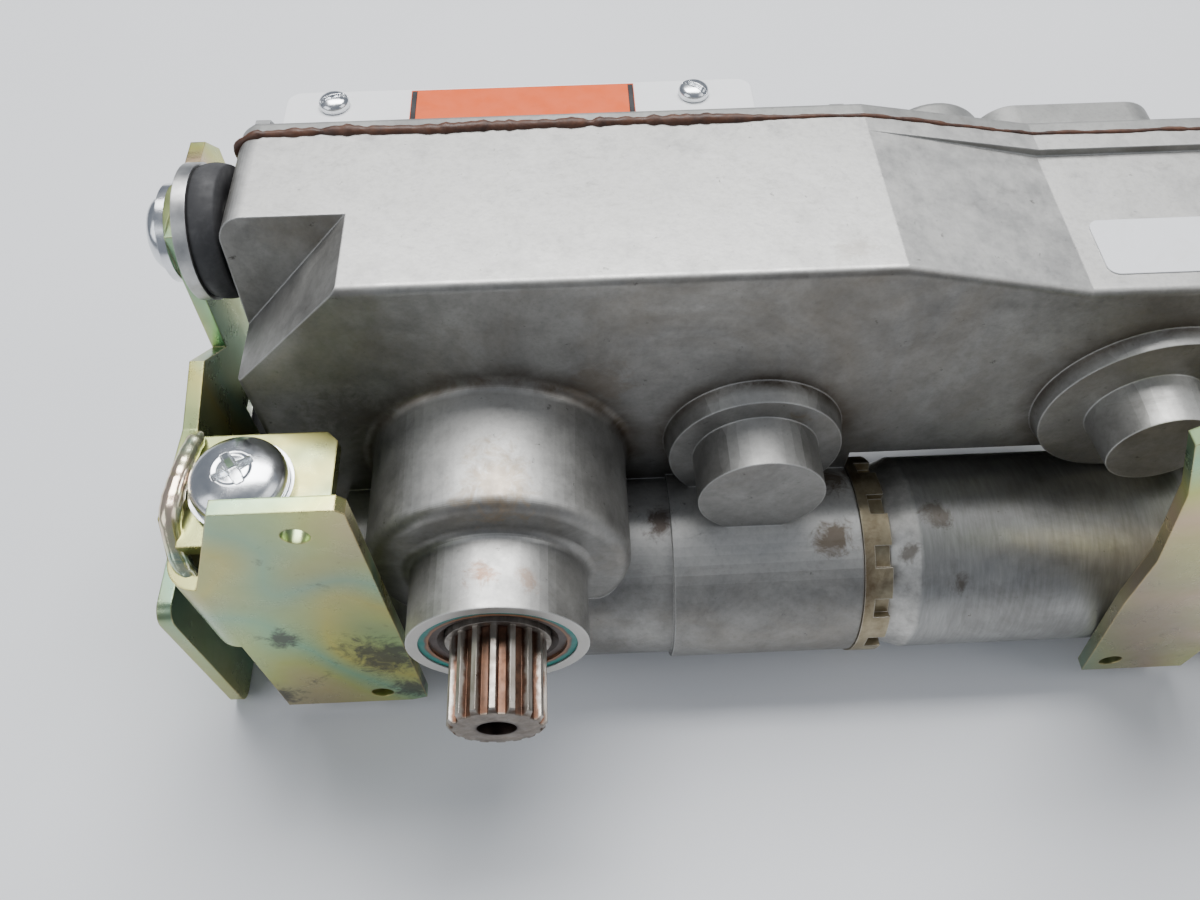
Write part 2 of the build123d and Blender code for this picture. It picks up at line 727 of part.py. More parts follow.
# ---------------------------------------------------------------- layshaft, belt drive and motor
with BuildPart() as layshaft:
    phase = layshaft_angle + 180 + 180 / pinion_teeth
    with BuildSketch(at_y(gear_end + 1)):
        with BuildLine():
            Polyline(
                *[(lay_x + x, lay_z + z) for x, z in
                  tooth_points(pinion_teeth, gear_module, 0, pinion_teeth - 1, phase)],
                close=True,
            )
        make_face()
    extrude(amount=gear_width + 2)
    for r, y0, y1 in (
        (7.5, lay_front_y, front_y + 6.5), (9.5, front_y + 5.8, lay_rear_y - 0.3),
        (7.5, lay_rear_y - 0.5, lay_rear_y + lay_bearing_w),
    ):
        with BuildSketch(at_y(y1)):
            with Locations((lay_x, lay_z)):
                Circle(r)
        extrude(amount=y1 - y0)
finish(layshaft.part, "layshaft")


def pulley(name, x, z, r, bore_r, grooves):
    """Toothed belt pulley with two side flanges."""
    with BuildPart() as wheel:
        with BuildSketch(at_y(belt_y + belt_width + 1)):
            with Locations((x, z)):
                Circle(r)
                with PolarLocations(r + 0.3, grooves):
                    Circle(1.25, mode=Mode.SUBTRACT)
        extrude(amount=belt_width + 2)
        for y1 in (belt_y - 0.6, belt_y + belt_width + 2):
            with BuildSketch(at_y(y1)):
                with Locations((x, z)):
                    Circle(r + 2.4)
            extrude(amount=1.4)
        with BuildSketch(at_y(belt_y + belt_width + 3)):
            with Locations((x, z)):
                Circle(bore_r)
        extrude(amount=belt_width + 6, mode=Mode.SUBTRACT)
    finish(wheel.part, name)


pulley("layshaft_pulley", lay_x, lay_z, big_pulley_r, 9.5, 36)
pulley("motor_pulley", motor_x, motor_z, motor_pulley_r, 5.0, 12)

with BuildPart() as belt:
    with BuildSketch(at_y(belt_y + belt_width)):
        belt_loop(belt_t)
    extrude(amount=belt_width)
    with BuildSketch(at_y(belt_y + belt_width)):
        belt_loop(0)
    extrude(amount=belt_width, mode=Mode.SUBTRACT)
finish(belt.part, "toothed_belt")

ring_y("idler_pulley", idler_x, idler_z, belt_y - 1, belt_y + belt_width + 1, idler_r, 4 + running)
with BuildPart() as idler_bolt:
    with BuildSketch(at_y(cover_y + 6)):
        with Locations((idler_x, idler_z)):
            Circle(4)
    extrude(amount=cover_y + 6 - belt_y + 12)
finish(idler_bolt.part, "idler_bolt")

motor_y = cover_out_y - 10.6
motor_back = motor_y + motor_len
with BuildPart() as motor_can:
    with BuildSketch(at_y(motor_back - 3)):
        with Locations((motor_x, motor_z)):
            Circle(motor_d / 2)
            Circle(motor_d / 2 - 2, mode=Mode.SUBTRACT)
    extrude(amount=motor_len - 6)
finish(motor_can.part, "motor_can")
ring_y("motor_front_plate", motor_x, motor_z, motor_y, motor_y + 3, motor_d / 2, 5 + running)
with BuildPart() as end_bell:
    with BuildSketch(at_y(motor_back)):
        with Locations((motor_x, motor_z)):
            Circle(motor_d / 2)
    extrude(amount=3)
    with BuildSketch(at_y(motor_back - 1)):
        with Locations((motor_x, motor_z)):
            Circle(10)
    extrude(amount=-4)
    fillet(end_bell.faces().sort_by(Axis.Y)[-1].edges(), 1.5)
    with BuildSketch(at_y(motor_back + 1)):
        with Locations((motor_x, motor_z)):
            Circle(3 + running)
    extrude(amount=8, mode=Mode.SUBTRACT)
finish(end_bell.part, "motor_end_bell")
ring_y("motor_magnets", motor_x, motor_z, motor_y + 6, motor_back - 6, motor_d / 2 - 2, 17.0)
with BuildPart() as armature:
    for r, y0, y1 in (
        (5.0, front_y - 3.9, motor_y + 6), (16.2, motor_y + 8, motor_back - 12),
        (9.0, motor_back - 12, motor_back - 6), (3.0, motor_back - 7, motor_back + 1),
    ):
        with BuildSketch(at_y(y1)):
            with Locations((motor_x, motor_z)):
                Circle(r)
        extrude(amount=y1 - y0)
    with BuildSketch(at_y(motor_y + 8)):
        with Locations((motor_x, motor_z)):
            Circle(5)
    extrude(amount=3)
finish(armature.part, "motor_armature")
ring_y("motor_shaft_bush", motor_x, motor_z, front_y - 3.9, front_y + 6, 13.0, 5 + running)

# ---------------------------------------------------------------- electrics box on the cover
tray_y1 = cover_out_y + tray_depth
tray_cx, tray_cz = (tray_left + tray_right) / 2, (tray_top + tray_bottom) / 2
tray_w, tray_h = tray_right - tray_left, tray_top - tray_bottom
flap_screw_x = (-40.5, 59.0)
flap_screw_y = cover_out_y + tray_depth * 0.63
with BuildPart() as tray:
    with Locations((tray_cx, cover_out_y + sheet_t / 2, tray_cz)):
        Box(tray_w, sheet_t, tray_h)
    for side in (1, -1):
        with BuildSketch(Plane.XY.offset(tray_cz + side * (tray_h / 2) - (sheet_t if side > 0 else 0))):
            with Locations((tray_cx, cover_out_y + tray_depth / 2)):
                Rectangle(tray_w, tray_depth)
        extrude(amount=sheet_t)
    fillet(
        tray.edges().filter_by(Axis.Z).group_by(Axis.Y)[-1], 4.0
    )
    with BuildSketch(Plane.XY.offset(tray_bottom - 1)):
        with Locations(*[(x, flap_screw_y) for x in flap_screw_x]):
            Circle(2.0)
    extrude(amount=tray_h + 2, mode=Mode.SUBTRACT)
finish(tray.part, "electrics_tray")
lid_gap = 0.2
with BuildPart() as lid:
    with BuildSketch(at_y(tray_y1 - 1.5)):
        with Locations((tray_cx, tray_cz)):
            Rectangle(tray_w - 2, tray_h - 2 * sheet_t - 2 * lid_gap)
    extrude(amount=tray_depth - 1.5 - sheet_t - lid_gap)
    fillet(lid.edges().filter_by(Axis.Z), 3.0)
    with BuildSketch(at_y(tray_y1 - 1.5 - sheet_t)):
        with Locations((tray_cx, tray_cz)):
            Rectangle(tray_w - 2 - 2 * sheet_t, tray_h - 4 * sheet_t - 2 * lid_gap)
    extrude(amount=tray_depth, mode=Mode.SUBTRACT)
    with BuildSketch(Plane.XY.offset(tray_bottom - 1)):
        with Locations(*[(x, flap_screw_y) for x in flap_screw_x]):
            Circle(2.0)
    extrude(amount=tray_h + 2, mode=Mode.SUBTRACT)
finish(lid.part, "electrics_lid")
with BuildPart() as flap_screws:
    for side in (1, -1):
        face_z = tray_top if side > 0 else tray_bottom
        for x in flap_screw_x:
            with Locations((x, flap_screw_y, face_z - side * 0.8)):
                Cylinder(1.9, 4.6)
            with BuildSketch(Plane(origin=(x, flap_screw_y, face_z), z_dir=(0, 0, side))):
                Circle(3.8)
            extrude(amount=2.4, taper=14)
finish(flap_screws.part, "electrics_screws")
with BuildPart() as board:
    with Locations((tray_cx + 8, cover_out_y + sheet_t + 3.2, tray_cz)):
        Box(90, 1.6, 84)
    for dx, dz in ((-40, -36), (40, -36), (-40, 36), (40, 36)):
        post = Location((tray_cx + 8 + dx, cover_out_y + sheet_t + 1.2, tray_cz + dz), (90, 0, 0))
        with Locations(post):
            Cylinder(3, 2.4)
finish(board.part, "control_board")
with BuildPart() as board_parts:
    board_y = cover_out_y + sheet_t + 4.0
    for dx, dz, w, h, t in (
        (-24, 18, 22, 18, 7), (6, 20, 16, 16, 6.5), (30, 18, 9, 28, 7), (-22, -16, 30, 22, 5),
        (14, -20, 18, 10, 6), (34, -22, 10, 12, 7),
    ):
        with Locations((tray_cx + 8 + dx, board_y + t / 2, tray_cz + dz)):
            Box(w, t, h)
finish(board_parts.part, "board_components")
with BuildPart() as warning_label:
    with Locations((11.5, cover_out_y + tray_depth * 0.5, tray_top + 0.15)):
        Box(62, tray_depth - 2.0, 0.3)
finish(warning_label.part, "orange_label")
with BuildPart() as part_label:
    with Locations((188, front_y + 15.5, case_low_top + 0.15)):
        Box(62, 19, 0.3)
    fillet(part_label.edges().filter_by(Axis.Z), 3)
finish(part_label.part, "white_label")

# ---------------------------------------------------------------- end brackets and rubber mounts
leg_top = 65.0
leg_low = -12.0
leg_rear_low = 4.0


def bracket(name, side, end_x, flange_points, hole_x, mount_z, has_tab):
    """End bracket: ear and leg square to X, bent into the mounting flange square to Y.

    side is -1 on the left and +1 on the right; end_x is the case's end.
    """
    inner = end_x + side * mount_gap
    outer = inner + side * plate_t
    with BuildPart() as bent:
        with BuildSketch(at_x(min(inner, outer))):
            with BuildLine():
                Polyline(
                    (front_y + 19, leg_low), (front_y + 19, leg_rear_low),
                    (front_y + 73, leg_rear_low), (front_y + 73, 57), (front_y + 66, leg_top),
                    (front_y + 29, leg_top), (front_y + 25, 26), (front_y + 11, 37),
                    (front_y - 8, 32), (front_y - 36, 34), (flange_y + bend_outer_r, 24),
                    (flange_y + bend_outer_r, leg_low), close=True,
                )
            make_face()
        extrude(amount=plate_t)
        with BuildSketch(Plane.XY.offset(leg_low)):
            with BuildLine():
                out_x, in_x = outer - side * bend_outer_r, outer
                in_r = bend_outer_r - plate_t
                mid = sin(pi / 4)
                centre = (out_x, flange_y + bend_outer_r)
                Line((in_x, centre[1]), (inner, centre[1]))
                ThreePointArc(
                    (inner, centre[1]), (out_x + side * in_r * mid, centre[1] - in_r * mid),
                    (out_x, flange_y + plate_t),
                )
                Line((out_x, flange_y + plate_t), (out_x, flange_y))
                ThreePointArc(
                    (out_x, flange_y),
                    (out_x + side * bend_outer_r * mid, centre[1] - bend_outer_r * mid),
                    (in_x, centre[1]),
                )
            make_face()
        extrude(amount=24 - leg_low)
        with BuildSketch(at_y(flange_y + plate_t)):
            with BuildLine():
                Polyline(*[(x, z) for x, z in flange_points(out_x)], close=True)
            make_face()
        extrude(amount=plate_t)
        if has_tab:
            # Screw tab behind the flange
            tab_x = inner - side * 36.7
            with BuildSketch(Plane.XY.offset(26)):
                with BuildLine():
                    Polyline(
                        (inner, front_y - 9), (tab_x + side * 3, front_y - 9), (tab_x, front_y - 12),
                        (tab_x, front_y - 42), (inner, front_y - 42), close=True,
                    )
                make_face()
            extrude(amount=plate_t)
            with BuildSketch(Plane.XY.offset(25)):
                with Locations((inner - side * 14.1, front_y - 25.5)):
                    Circle(5.2)
            extrude(amount=6, mode=Mode.SUBTRACT)
        with BuildSketch(at_y(flange_y + plate_t + 1)):
            with Locations(
                (hole_x, flange_hole_mid_z + flange_hole_spacing / 2),
                (hole_x, flange_hole_mid_z - flange_hole_spacing / 2),
            ):
                Circle(flange_hole_r)
        extrude(amount=plate_t + 2, mode=Mode.SUBTRACT)
        with Locations(Location(((inner + outer) / 2, mount_y, mount_z), (0, 90, 0))):
            Cylinder(5.2, plate_t + 2, mode=Mode.SUBTRACT)
    finish(bent.part, name)


bracket(
    "left_bracket", -1, case_left,
    lambda bend_x: [
        (left_flange_edge, case_bottom + 2), (left_flange_edge, flange_top - 2),
        (left_flange_edge - 2, flange_top), (-57.5, flange_top), (bend_x, 24), (bend_x, case_bottom),
        (left_flange_edge - 5, case_bottom),
    ],
    flange_hole_x, front_mount_z[0], True,
)
bracket(
    "right_bracket", 1, case_right,
    lambda bend_x: [
        (182, case_bottom), (173, -9), (170, 17), (161, 51), (152, 72), (155, case_top + 1),
        (bend_x - 16, case_top + 1), (bend_x, 24), (bend_x, case_bottom),
    ],
    right_hole_x, front_mount_z[1], False,
)


back_gap = mount_gap + back_plate_offset
# Each set: side of the unit, the case's end, height of the mount, gap it spans
front_mounts = [(*ends[i], front_mount_z[i], mount_gap) for i in (0, 1)]
back_mounts = [(*ends[i], back_mount_z[i], back_gap) for i in (0, 1)]


def mount_discs(name, mounts, start, stop, outer_r):
    """Rings around the mount bolts; start and stop count outwards from the gap's outer face."""
    with BuildPart() as discs:
        for side, end, z, gap in mounts:
            x0 = end + side * max(start + gap, 1.0)
            x1 = end + side * (stop + gap)
            with BuildSketch(at_x(min(x0, x1))):
                with Locations((mount_y, z)):
                    Circle(outer_r)
                    Circle(5.2, mode=Mode.SUBTRACT)
            extrude(amount=abs(x1 - x0))
    finish(discs.part, name)


def mount_bolts(name, mounts):
    """Dome-headed bolts that pass through bracket and rubber into the case."""
    with BuildPart() as bolts:
        for side, end, z, gap in mounts:
            head = end + side * (gap + plate_t + 2.2)
            tip = end - side * 8.5
            with BuildSketch(at_x(min(head, tip))):
                with Locations((mount_y, z)):
                    Circle(5)
            extrude(amount=abs(head - tip))
            with BuildSketch(Plane(origin=(head, mount_y, z), x_dir=(0, 1, 0), z_dir=(side, 0, 0))):
                Circle(10.2)
            extrude(amount=4.6)
        ends = bolts.faces().filter_by(Axis.X).sort_by(Axis.X)
        fillet(ends[0].edges() + ends[-1].edges(), 3.8)
    finish(bolts.part, name)


mount_discs("front_mount_rubbers", front_mounts, -100, -3.6, mount_d / 2)
mount_discs("back_mount_rubbers", back_mounts, -100, -3.6, mount_d / 2)
mount_discs("mount_inner_washers", front_mounts + back_mounts, -3.6, 0, mount_d / 2 + 0.6)
mount_discs("mount_outer_washers", front_mounts + back_mounts, plate_t, plate_t + 2.2, 13.0)
mount_bolts("front_mount_bolts", front_mounts)
mount_bolts("back_mount_bolts", back_mounts)


def back_plate(name, side, end_x, mount_z):
    """Rear plate square to X that stands beside the bracket and reaches the bench."""
    inner = end_x + side * back_gap
    outer = inner + side * plate_t
    with BuildPart() as plate:
        with BuildSketch(at_x(min(inner, outer))):
            with Locations(((flange_y + 4 + front_y + 72) / 2, bench_z / 2)):
                Rectangle(front_y + 72 - flange_y - 4, -bench_z)
        extrude(amount=plate_t)
        fillet(plate.edges().filter_by(Axis.X), 5)
        with Locations(Location(((inner + outer) / 2, mount_y, mount_z), (0, 90, 0))):
            Cylinder(5.2, plate_t + 2, mode=Mode.SUBTRACT)
    finish(plate.part, name)


back_plate("left_back_plate", -1, case_left, back_mount_z[0])
back_plate("right_back_plate", 1, case_right, back_mount_z[1])

with BuildPart() as spacer_bars:
    for side, end in ends:
        near = end + side * (mount_gap + plate_t)
        far = end + side * back_gap
        with Locations(((near + far) / 2, front_y - 8, leg_low / 2 - 1)):
            Box(abs(far - near), 46, -leg_low - 2)
finish(spacer_bars.part, "spacer_bars")

# Truss-head cross-recess screw, washer above the tab and nut below it
tab_y = front_y - 25.5
tab_face_z = 26 + plate_t
tab_points = [(case_left - mount_gap + 14.1, tab_y)]
with BuildPart() as tab_washer:
    with BuildSketch(Plane.XY.offset(tab_face_z)):
        with Locations(*tab_points):
            Circle(13.4)
            Circle(5.2, mode=Mode.SUBTRACT)
    extrude(amount=2)
finish(tab_washer.part, "tab_washer")

with BuildPart() as tab_screw:
    with BuildSketch(Plane.XY.offset(16)):
        with Locations(*tab_points):
            Circle(5)
    extrude(amount=tab_face_z + 2 - 16)
    with BuildSketch(Plane.XY.offset(tab_face_z + 2)):
        with Locations(*tab_points):
            Circle(12)
    extrude(amount=7)
    fillet(tab_screw.faces().sort_by(Axis.Z)[-1].edges(), 6)
    with BuildSketch(Plane.XY.offset(tab_face_z + 10)):
        with Locations(*tab_points):
            Rectangle(9.6, 2.4)
            Rectangle(2.4, 9.6)
    extrude(amount=-5.5, mode=Mode.SUBTRACT)
finish(tab_screw.part, "tab_screw")

with BuildPart() as tab_nut:
    with BuildSketch(Plane.XY.offset(18)):
        with Locations(*tab_points):
            RegularPolygon(9.8, 6)
            Circle(5, mode=Mode.SUBTRACT)
    extrude(amount=8)
finish(tab_nut.part, "tab_nut")
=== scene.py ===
"""Studio scene of the swing-door drive unit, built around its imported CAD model.

The row frame is in metres: X along the unit, Y along the spindle into the gear case, Z up, with
the origin in the middle of the spindle's end face. The unit lies on its back on a pale floor.
"""

import math
import random

import bpy
from mathutils import Matrix, Vector, noise


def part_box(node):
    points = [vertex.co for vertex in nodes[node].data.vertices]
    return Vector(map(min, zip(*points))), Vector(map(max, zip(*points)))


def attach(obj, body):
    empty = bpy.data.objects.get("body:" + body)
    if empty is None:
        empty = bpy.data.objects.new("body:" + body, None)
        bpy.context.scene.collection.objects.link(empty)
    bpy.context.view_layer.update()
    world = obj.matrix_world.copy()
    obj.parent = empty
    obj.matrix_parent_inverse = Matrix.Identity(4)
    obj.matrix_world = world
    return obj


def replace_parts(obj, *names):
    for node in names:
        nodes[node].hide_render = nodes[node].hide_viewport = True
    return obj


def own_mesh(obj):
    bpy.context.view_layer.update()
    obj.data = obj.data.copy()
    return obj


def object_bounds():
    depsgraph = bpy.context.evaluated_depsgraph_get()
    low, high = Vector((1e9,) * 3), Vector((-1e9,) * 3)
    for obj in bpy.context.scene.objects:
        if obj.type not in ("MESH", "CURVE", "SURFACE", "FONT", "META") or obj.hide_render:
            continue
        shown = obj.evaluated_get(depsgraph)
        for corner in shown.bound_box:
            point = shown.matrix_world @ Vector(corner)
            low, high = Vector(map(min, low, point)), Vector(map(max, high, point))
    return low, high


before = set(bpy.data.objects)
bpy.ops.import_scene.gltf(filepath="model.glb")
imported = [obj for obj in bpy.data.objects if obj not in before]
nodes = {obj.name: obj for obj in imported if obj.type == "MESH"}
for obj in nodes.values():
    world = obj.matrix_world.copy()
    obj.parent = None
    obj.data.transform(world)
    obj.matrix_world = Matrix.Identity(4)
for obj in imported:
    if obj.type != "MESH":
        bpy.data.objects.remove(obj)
cad_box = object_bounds()
MM = 0.001

# ------------------------------------------------------------------ places read from the frame
gasket_low, gasket_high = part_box("gasket")
tray_low, tray_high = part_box("electrics_tray")
screw_low, screw_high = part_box("tab_screw")
washer_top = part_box("tab_washer")[1].z
orange_low, orange_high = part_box("orange_label")
bracket_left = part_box("left_bracket")[0].x
FRONT_Y = 80.8 * MM  # the case's flat front face
CASE_LEFT, CASE_RIGHT = -65.0 * MM, 207.3 * MM
MOUNT_Y = FRONT_Y + 39.5 * MM  # the rubber mounts' axes
FRONT_GAP, BACK_GAP = 11.7 * MM, 23.6 * MM  # from the case's end to each mount's outer washer
FRONT_MOUNT_Z = (56.5 * MM, 45.5 * MM)  # left end, right end
BACK_MOUNT_Z = (-38.0 * MM, -16.0 * MM)
INNER_WASHER = 3.6 * MM
FLOOR_Z = cad_box[0].z


# ------------------------------------------------------------------ material building blocks
class Graph:
    """A material with a Principled shader, and short calls that add nodes to it."""

    def __init__(self, name, metallic, roughness):
        self.material = bpy.data.materials.new(name)
        self.material.use_nodes = True
        self.tree = self.material.node_tree
        self.shader = self.tree.nodes["Principled BSDF"]
        self.shader.inputs["Metallic"].default_value = metallic
        self.shader.inputs["Roughness"].default_value = roughness
        self.place = self.tree.nodes.new("ShaderNodeTexCoord").outputs["Object"]

    def add(self, kind, **settings):
        node = self.tree.nodes.new(kind)
        for key, value in settings.items():
            setattr(node, key, value)
        return node

    def feed(self, socket, value):
        if isinstance(value, bpy.types.NodeSocket):
            self.tree.links.new(value, socket)
        else:
            socket.default_value = value

    def stretched(self, x=1.0, y=1.0, z=1.0):
        """Object position with each axis scaled, for grain that runs one way."""
        node = self.add("ShaderNodeMapping")
        self.feed(node.inputs["Vector"], self.place)
        node.inputs["Scale"].default_value = (x, y, z)
        return node.outputs["Vector"]

    def noise(self, scale, detail=4.0, rough=0.55, warp=0.0, place=None, seed=0.0):
        node = self.add("ShaderNodeTexNoise", noise_dimensions="4D")
        self.feed(node.inputs["Vector"], place or self.place)
        node.inputs["W"].default_value = seed
        node.inputs["Scale"].default_value = scale
        node.inputs["Detail"].default_value = detail
        node.inputs["Roughness"].default_value = rough
        node.inputs["Distortion"].default_value = warp
        return node.outputs["Fac"]

    def span(self, value, low, high, to_low=0.0, to_high=1.0):
        node = self.add("ShaderNodeMapRange")
        self.feed(node.inputs["Value"], value)
        limits = {"From Min": low, "From Max": high, "To Min": to_low, "To Max": to_high}
        for key, number in limits.items():
            node.inputs[key].default_value = number
        return node.outputs["Result"]

    def ramp(self, value, *stops):
        node = self.add("ShaderNodeValToRGB")
        self.feed(node.inputs["Fac"], value)
        elements = node.color_ramp.elements
        while len(elements) < len(stops):
            elements.new(0.5)
        for element, (place, color) in zip(elements, stops):
            element.position = place
            element.color = (*color, 1.0)
        return node.outputs["Color"]

    def mix(self, amount, a, b, mode="MIX"):
        node = self.add("ShaderNodeMix", data_type="RGBA", blend_type=mode)
        self.feed(node.inputs["Factor"], amount)
        for socket, color in ((node.inputs["A"], a), (node.inputs["B"], b)):
            self.feed(socket, color if isinstance(color, bpy.types.NodeSocket) else (*color, 1.0))
        return node.outputs["Result"]

    def math(self, operation, a, b=0.0):
        node = self.add("ShaderNodeMath", operation=operation)
        self.feed(node.inputs[0], a)
        self.feed(node.inputs[1], b)
        return node.outputs[0]

    def axis(self, name):
        node = self.add("ShaderNodeSeparateXYZ")
        self.feed(node.inputs[0], self.place)
        return node.outputs[name]

    def reach_from(self, x=None, y=None, z=None):
        """Distance of the surface from a point, or from a line along the axis left out (mm in)."""
        total = None
        for name, at in (("X", x), ("Y", y), ("Z", z)):
            if at is not None:
                gap = self.math("POWER", self.math("SUBTRACT", self.axis(name), at * MM), 2.0)
                total = gap if total is None else self.math("ADD", total, gap)
        return self.math("SQRT", total)

    def patch(self, x, y, z, radius, seed=0.0):
        """A ragged patch of wear or dirt round a point, from 0 to 1."""
        ragged = self.span(self.noise(170, 7, 0.72, 1.0, seed=seed), 0.3, 0.7, -0.75, 0.75)
        drift = self.math("MULTIPLY", ragged, radius * MM)
        distance = self.math("ADD", self.reach_from(x, y, z), drift)
        return self.span(distance, radius * MM, radius * 0.35 * MM)

    def corner_grime_and_shade(self, x, z, radius, width):
        """Dirt and painted shade that gather in the corner round an upright boss, ragged and
        uneven.
        """
        gap = self.math("ABSOLUTE", self.math("SUBTRACT", self.reach_from(x=x, z=z), radius * MM))
        uneven = self.span(self.noise(60, 6, 0.7, 0.8, seed=radius), 0.35, 0.65, 0.25, 1.25)
        near = self.span(gap, 0.2 * MM, width * MM, 1.0, 0.0)
        front = self.span(self.axis("Y"), FRONT_Y - 4 * MM, FRONT_Y - 1 * MM)
        return self.math("MULTIPLY", self.math("MULTIPLY", near, front), uneven)

    def facing(self, x, y, z):
        """How squarely the surface faces a fixed direction of the row frame, from -1 to 1."""
        node = self.add("ShaderNodeVectorMath", operation="DOT_PRODUCT")
        geometry = self.add("ShaderNodeNewGeometry")
        self.feed(node.inputs[0], geometry.outputs["True Normal"])
        node.inputs[1].default_value = (x, y, z)
        return node.outputs["Value"]

    def edges(self, radius):
        """0 on flats, rising at edges that a worn part shows bright."""
        bevel = self.add("ShaderNodeBevel", samples=4)
        bevel.inputs["Radius"].default_value = radius
        geometry = self.add("ShaderNodeNewGeometry")
        node = self.add("ShaderNodeVectorMath", operation="DOT_PRODUCT")
        self.feed(node.inputs[0], bevel.outputs["Normal"])
        self.feed(node.inputs[1], geometry.outputs["True Normal"])
        return self.span(node.outputs["Value"], 0.99, 0.80)

    def relief(self, *layers, soften=0.0):
        """Stack bump layers of (height, strength, distance) on an optionally softened normal."""
        normal = None
        if soften:
            bevel = self.add("ShaderNodeBevel", samples=4)
            bevel.inputs["Radius"].default_value = soften
            normal = bevel.outputs["Normal"]
        for height, strength, distance in layers:
            node = self.add("ShaderNodeBump")
            node.inputs["Strength"].default_value = strength
            node.inputs["Distance"].default_value = distance
            self.feed(node.inputs["Height"], height)
            if normal:
                self.feed(node.inputs["Normal"], normal)
            normal = node.outputs["Normal"]
        self.feed(self.shader.inputs["Normal"], normal)

    def color(self, value):
        self.feed(self.shader.inputs["Base Color"], value)

    def roughness(self, value):
        self.feed(self.shader.inputs["Roughness"], value)


# ------------------------------------------------------------------ materials
def cast_aluminium(name, light, dark, grime):
    """Sand-blasted die casting: mottled, stained, bright where edges are worn."""
    g = Graph(name, 0.55, 0.5)
    cloud = g.noise(28, 6, 0.62, 0.6)
    base = g.ramp(cloud, (0.32, dark), (0.66, light))
    speck = g.span(g.noise(900, 3, 0.6), 0.35, 0.65, 0.90, 1.08)
    base = g.mix(1.0, base, g.ramp(speck, (0.0, (0.0,) * 3), (1.0, (1.0,) * 3)), "MULTIPLY")
    streak = g.span(g.noise(46, 8, 0.72, 1.8, g.stretched(0.5, 1.0, 1.0), 3.0), 0.56, 0.74)
    base = g.mix(g.math("MULTIPLY", streak, 0.42), base, grime)
    spots = g.span(g.noise(240, 5, 0.7, 0.4, seed=8.0), 0.66, 0.74)
    base = g.mix(g.math("MULTIPLY", spots, 0.55), base, tuple(c * 0.35 for c in grime))
    base = g.mix(g.math("MULTIPLY", g.edges(0.9 * MM), 0.45), base, (0.86, 0.86, 0.85))
    g.color(base)
    g.roughness(g.span(g.noise(150, 5, 0.6, seed=2.0), 0.3, 0.7, 0.40, 0.58))
    g.relief(
        (g.noise(1500, 4, 0.6), 0.25, 0.05 * MM), (g.noise(70, 5, 0.55), 0.22, 0.5 * MM),
        soften=0.7 * MM,
    )
    return g.material


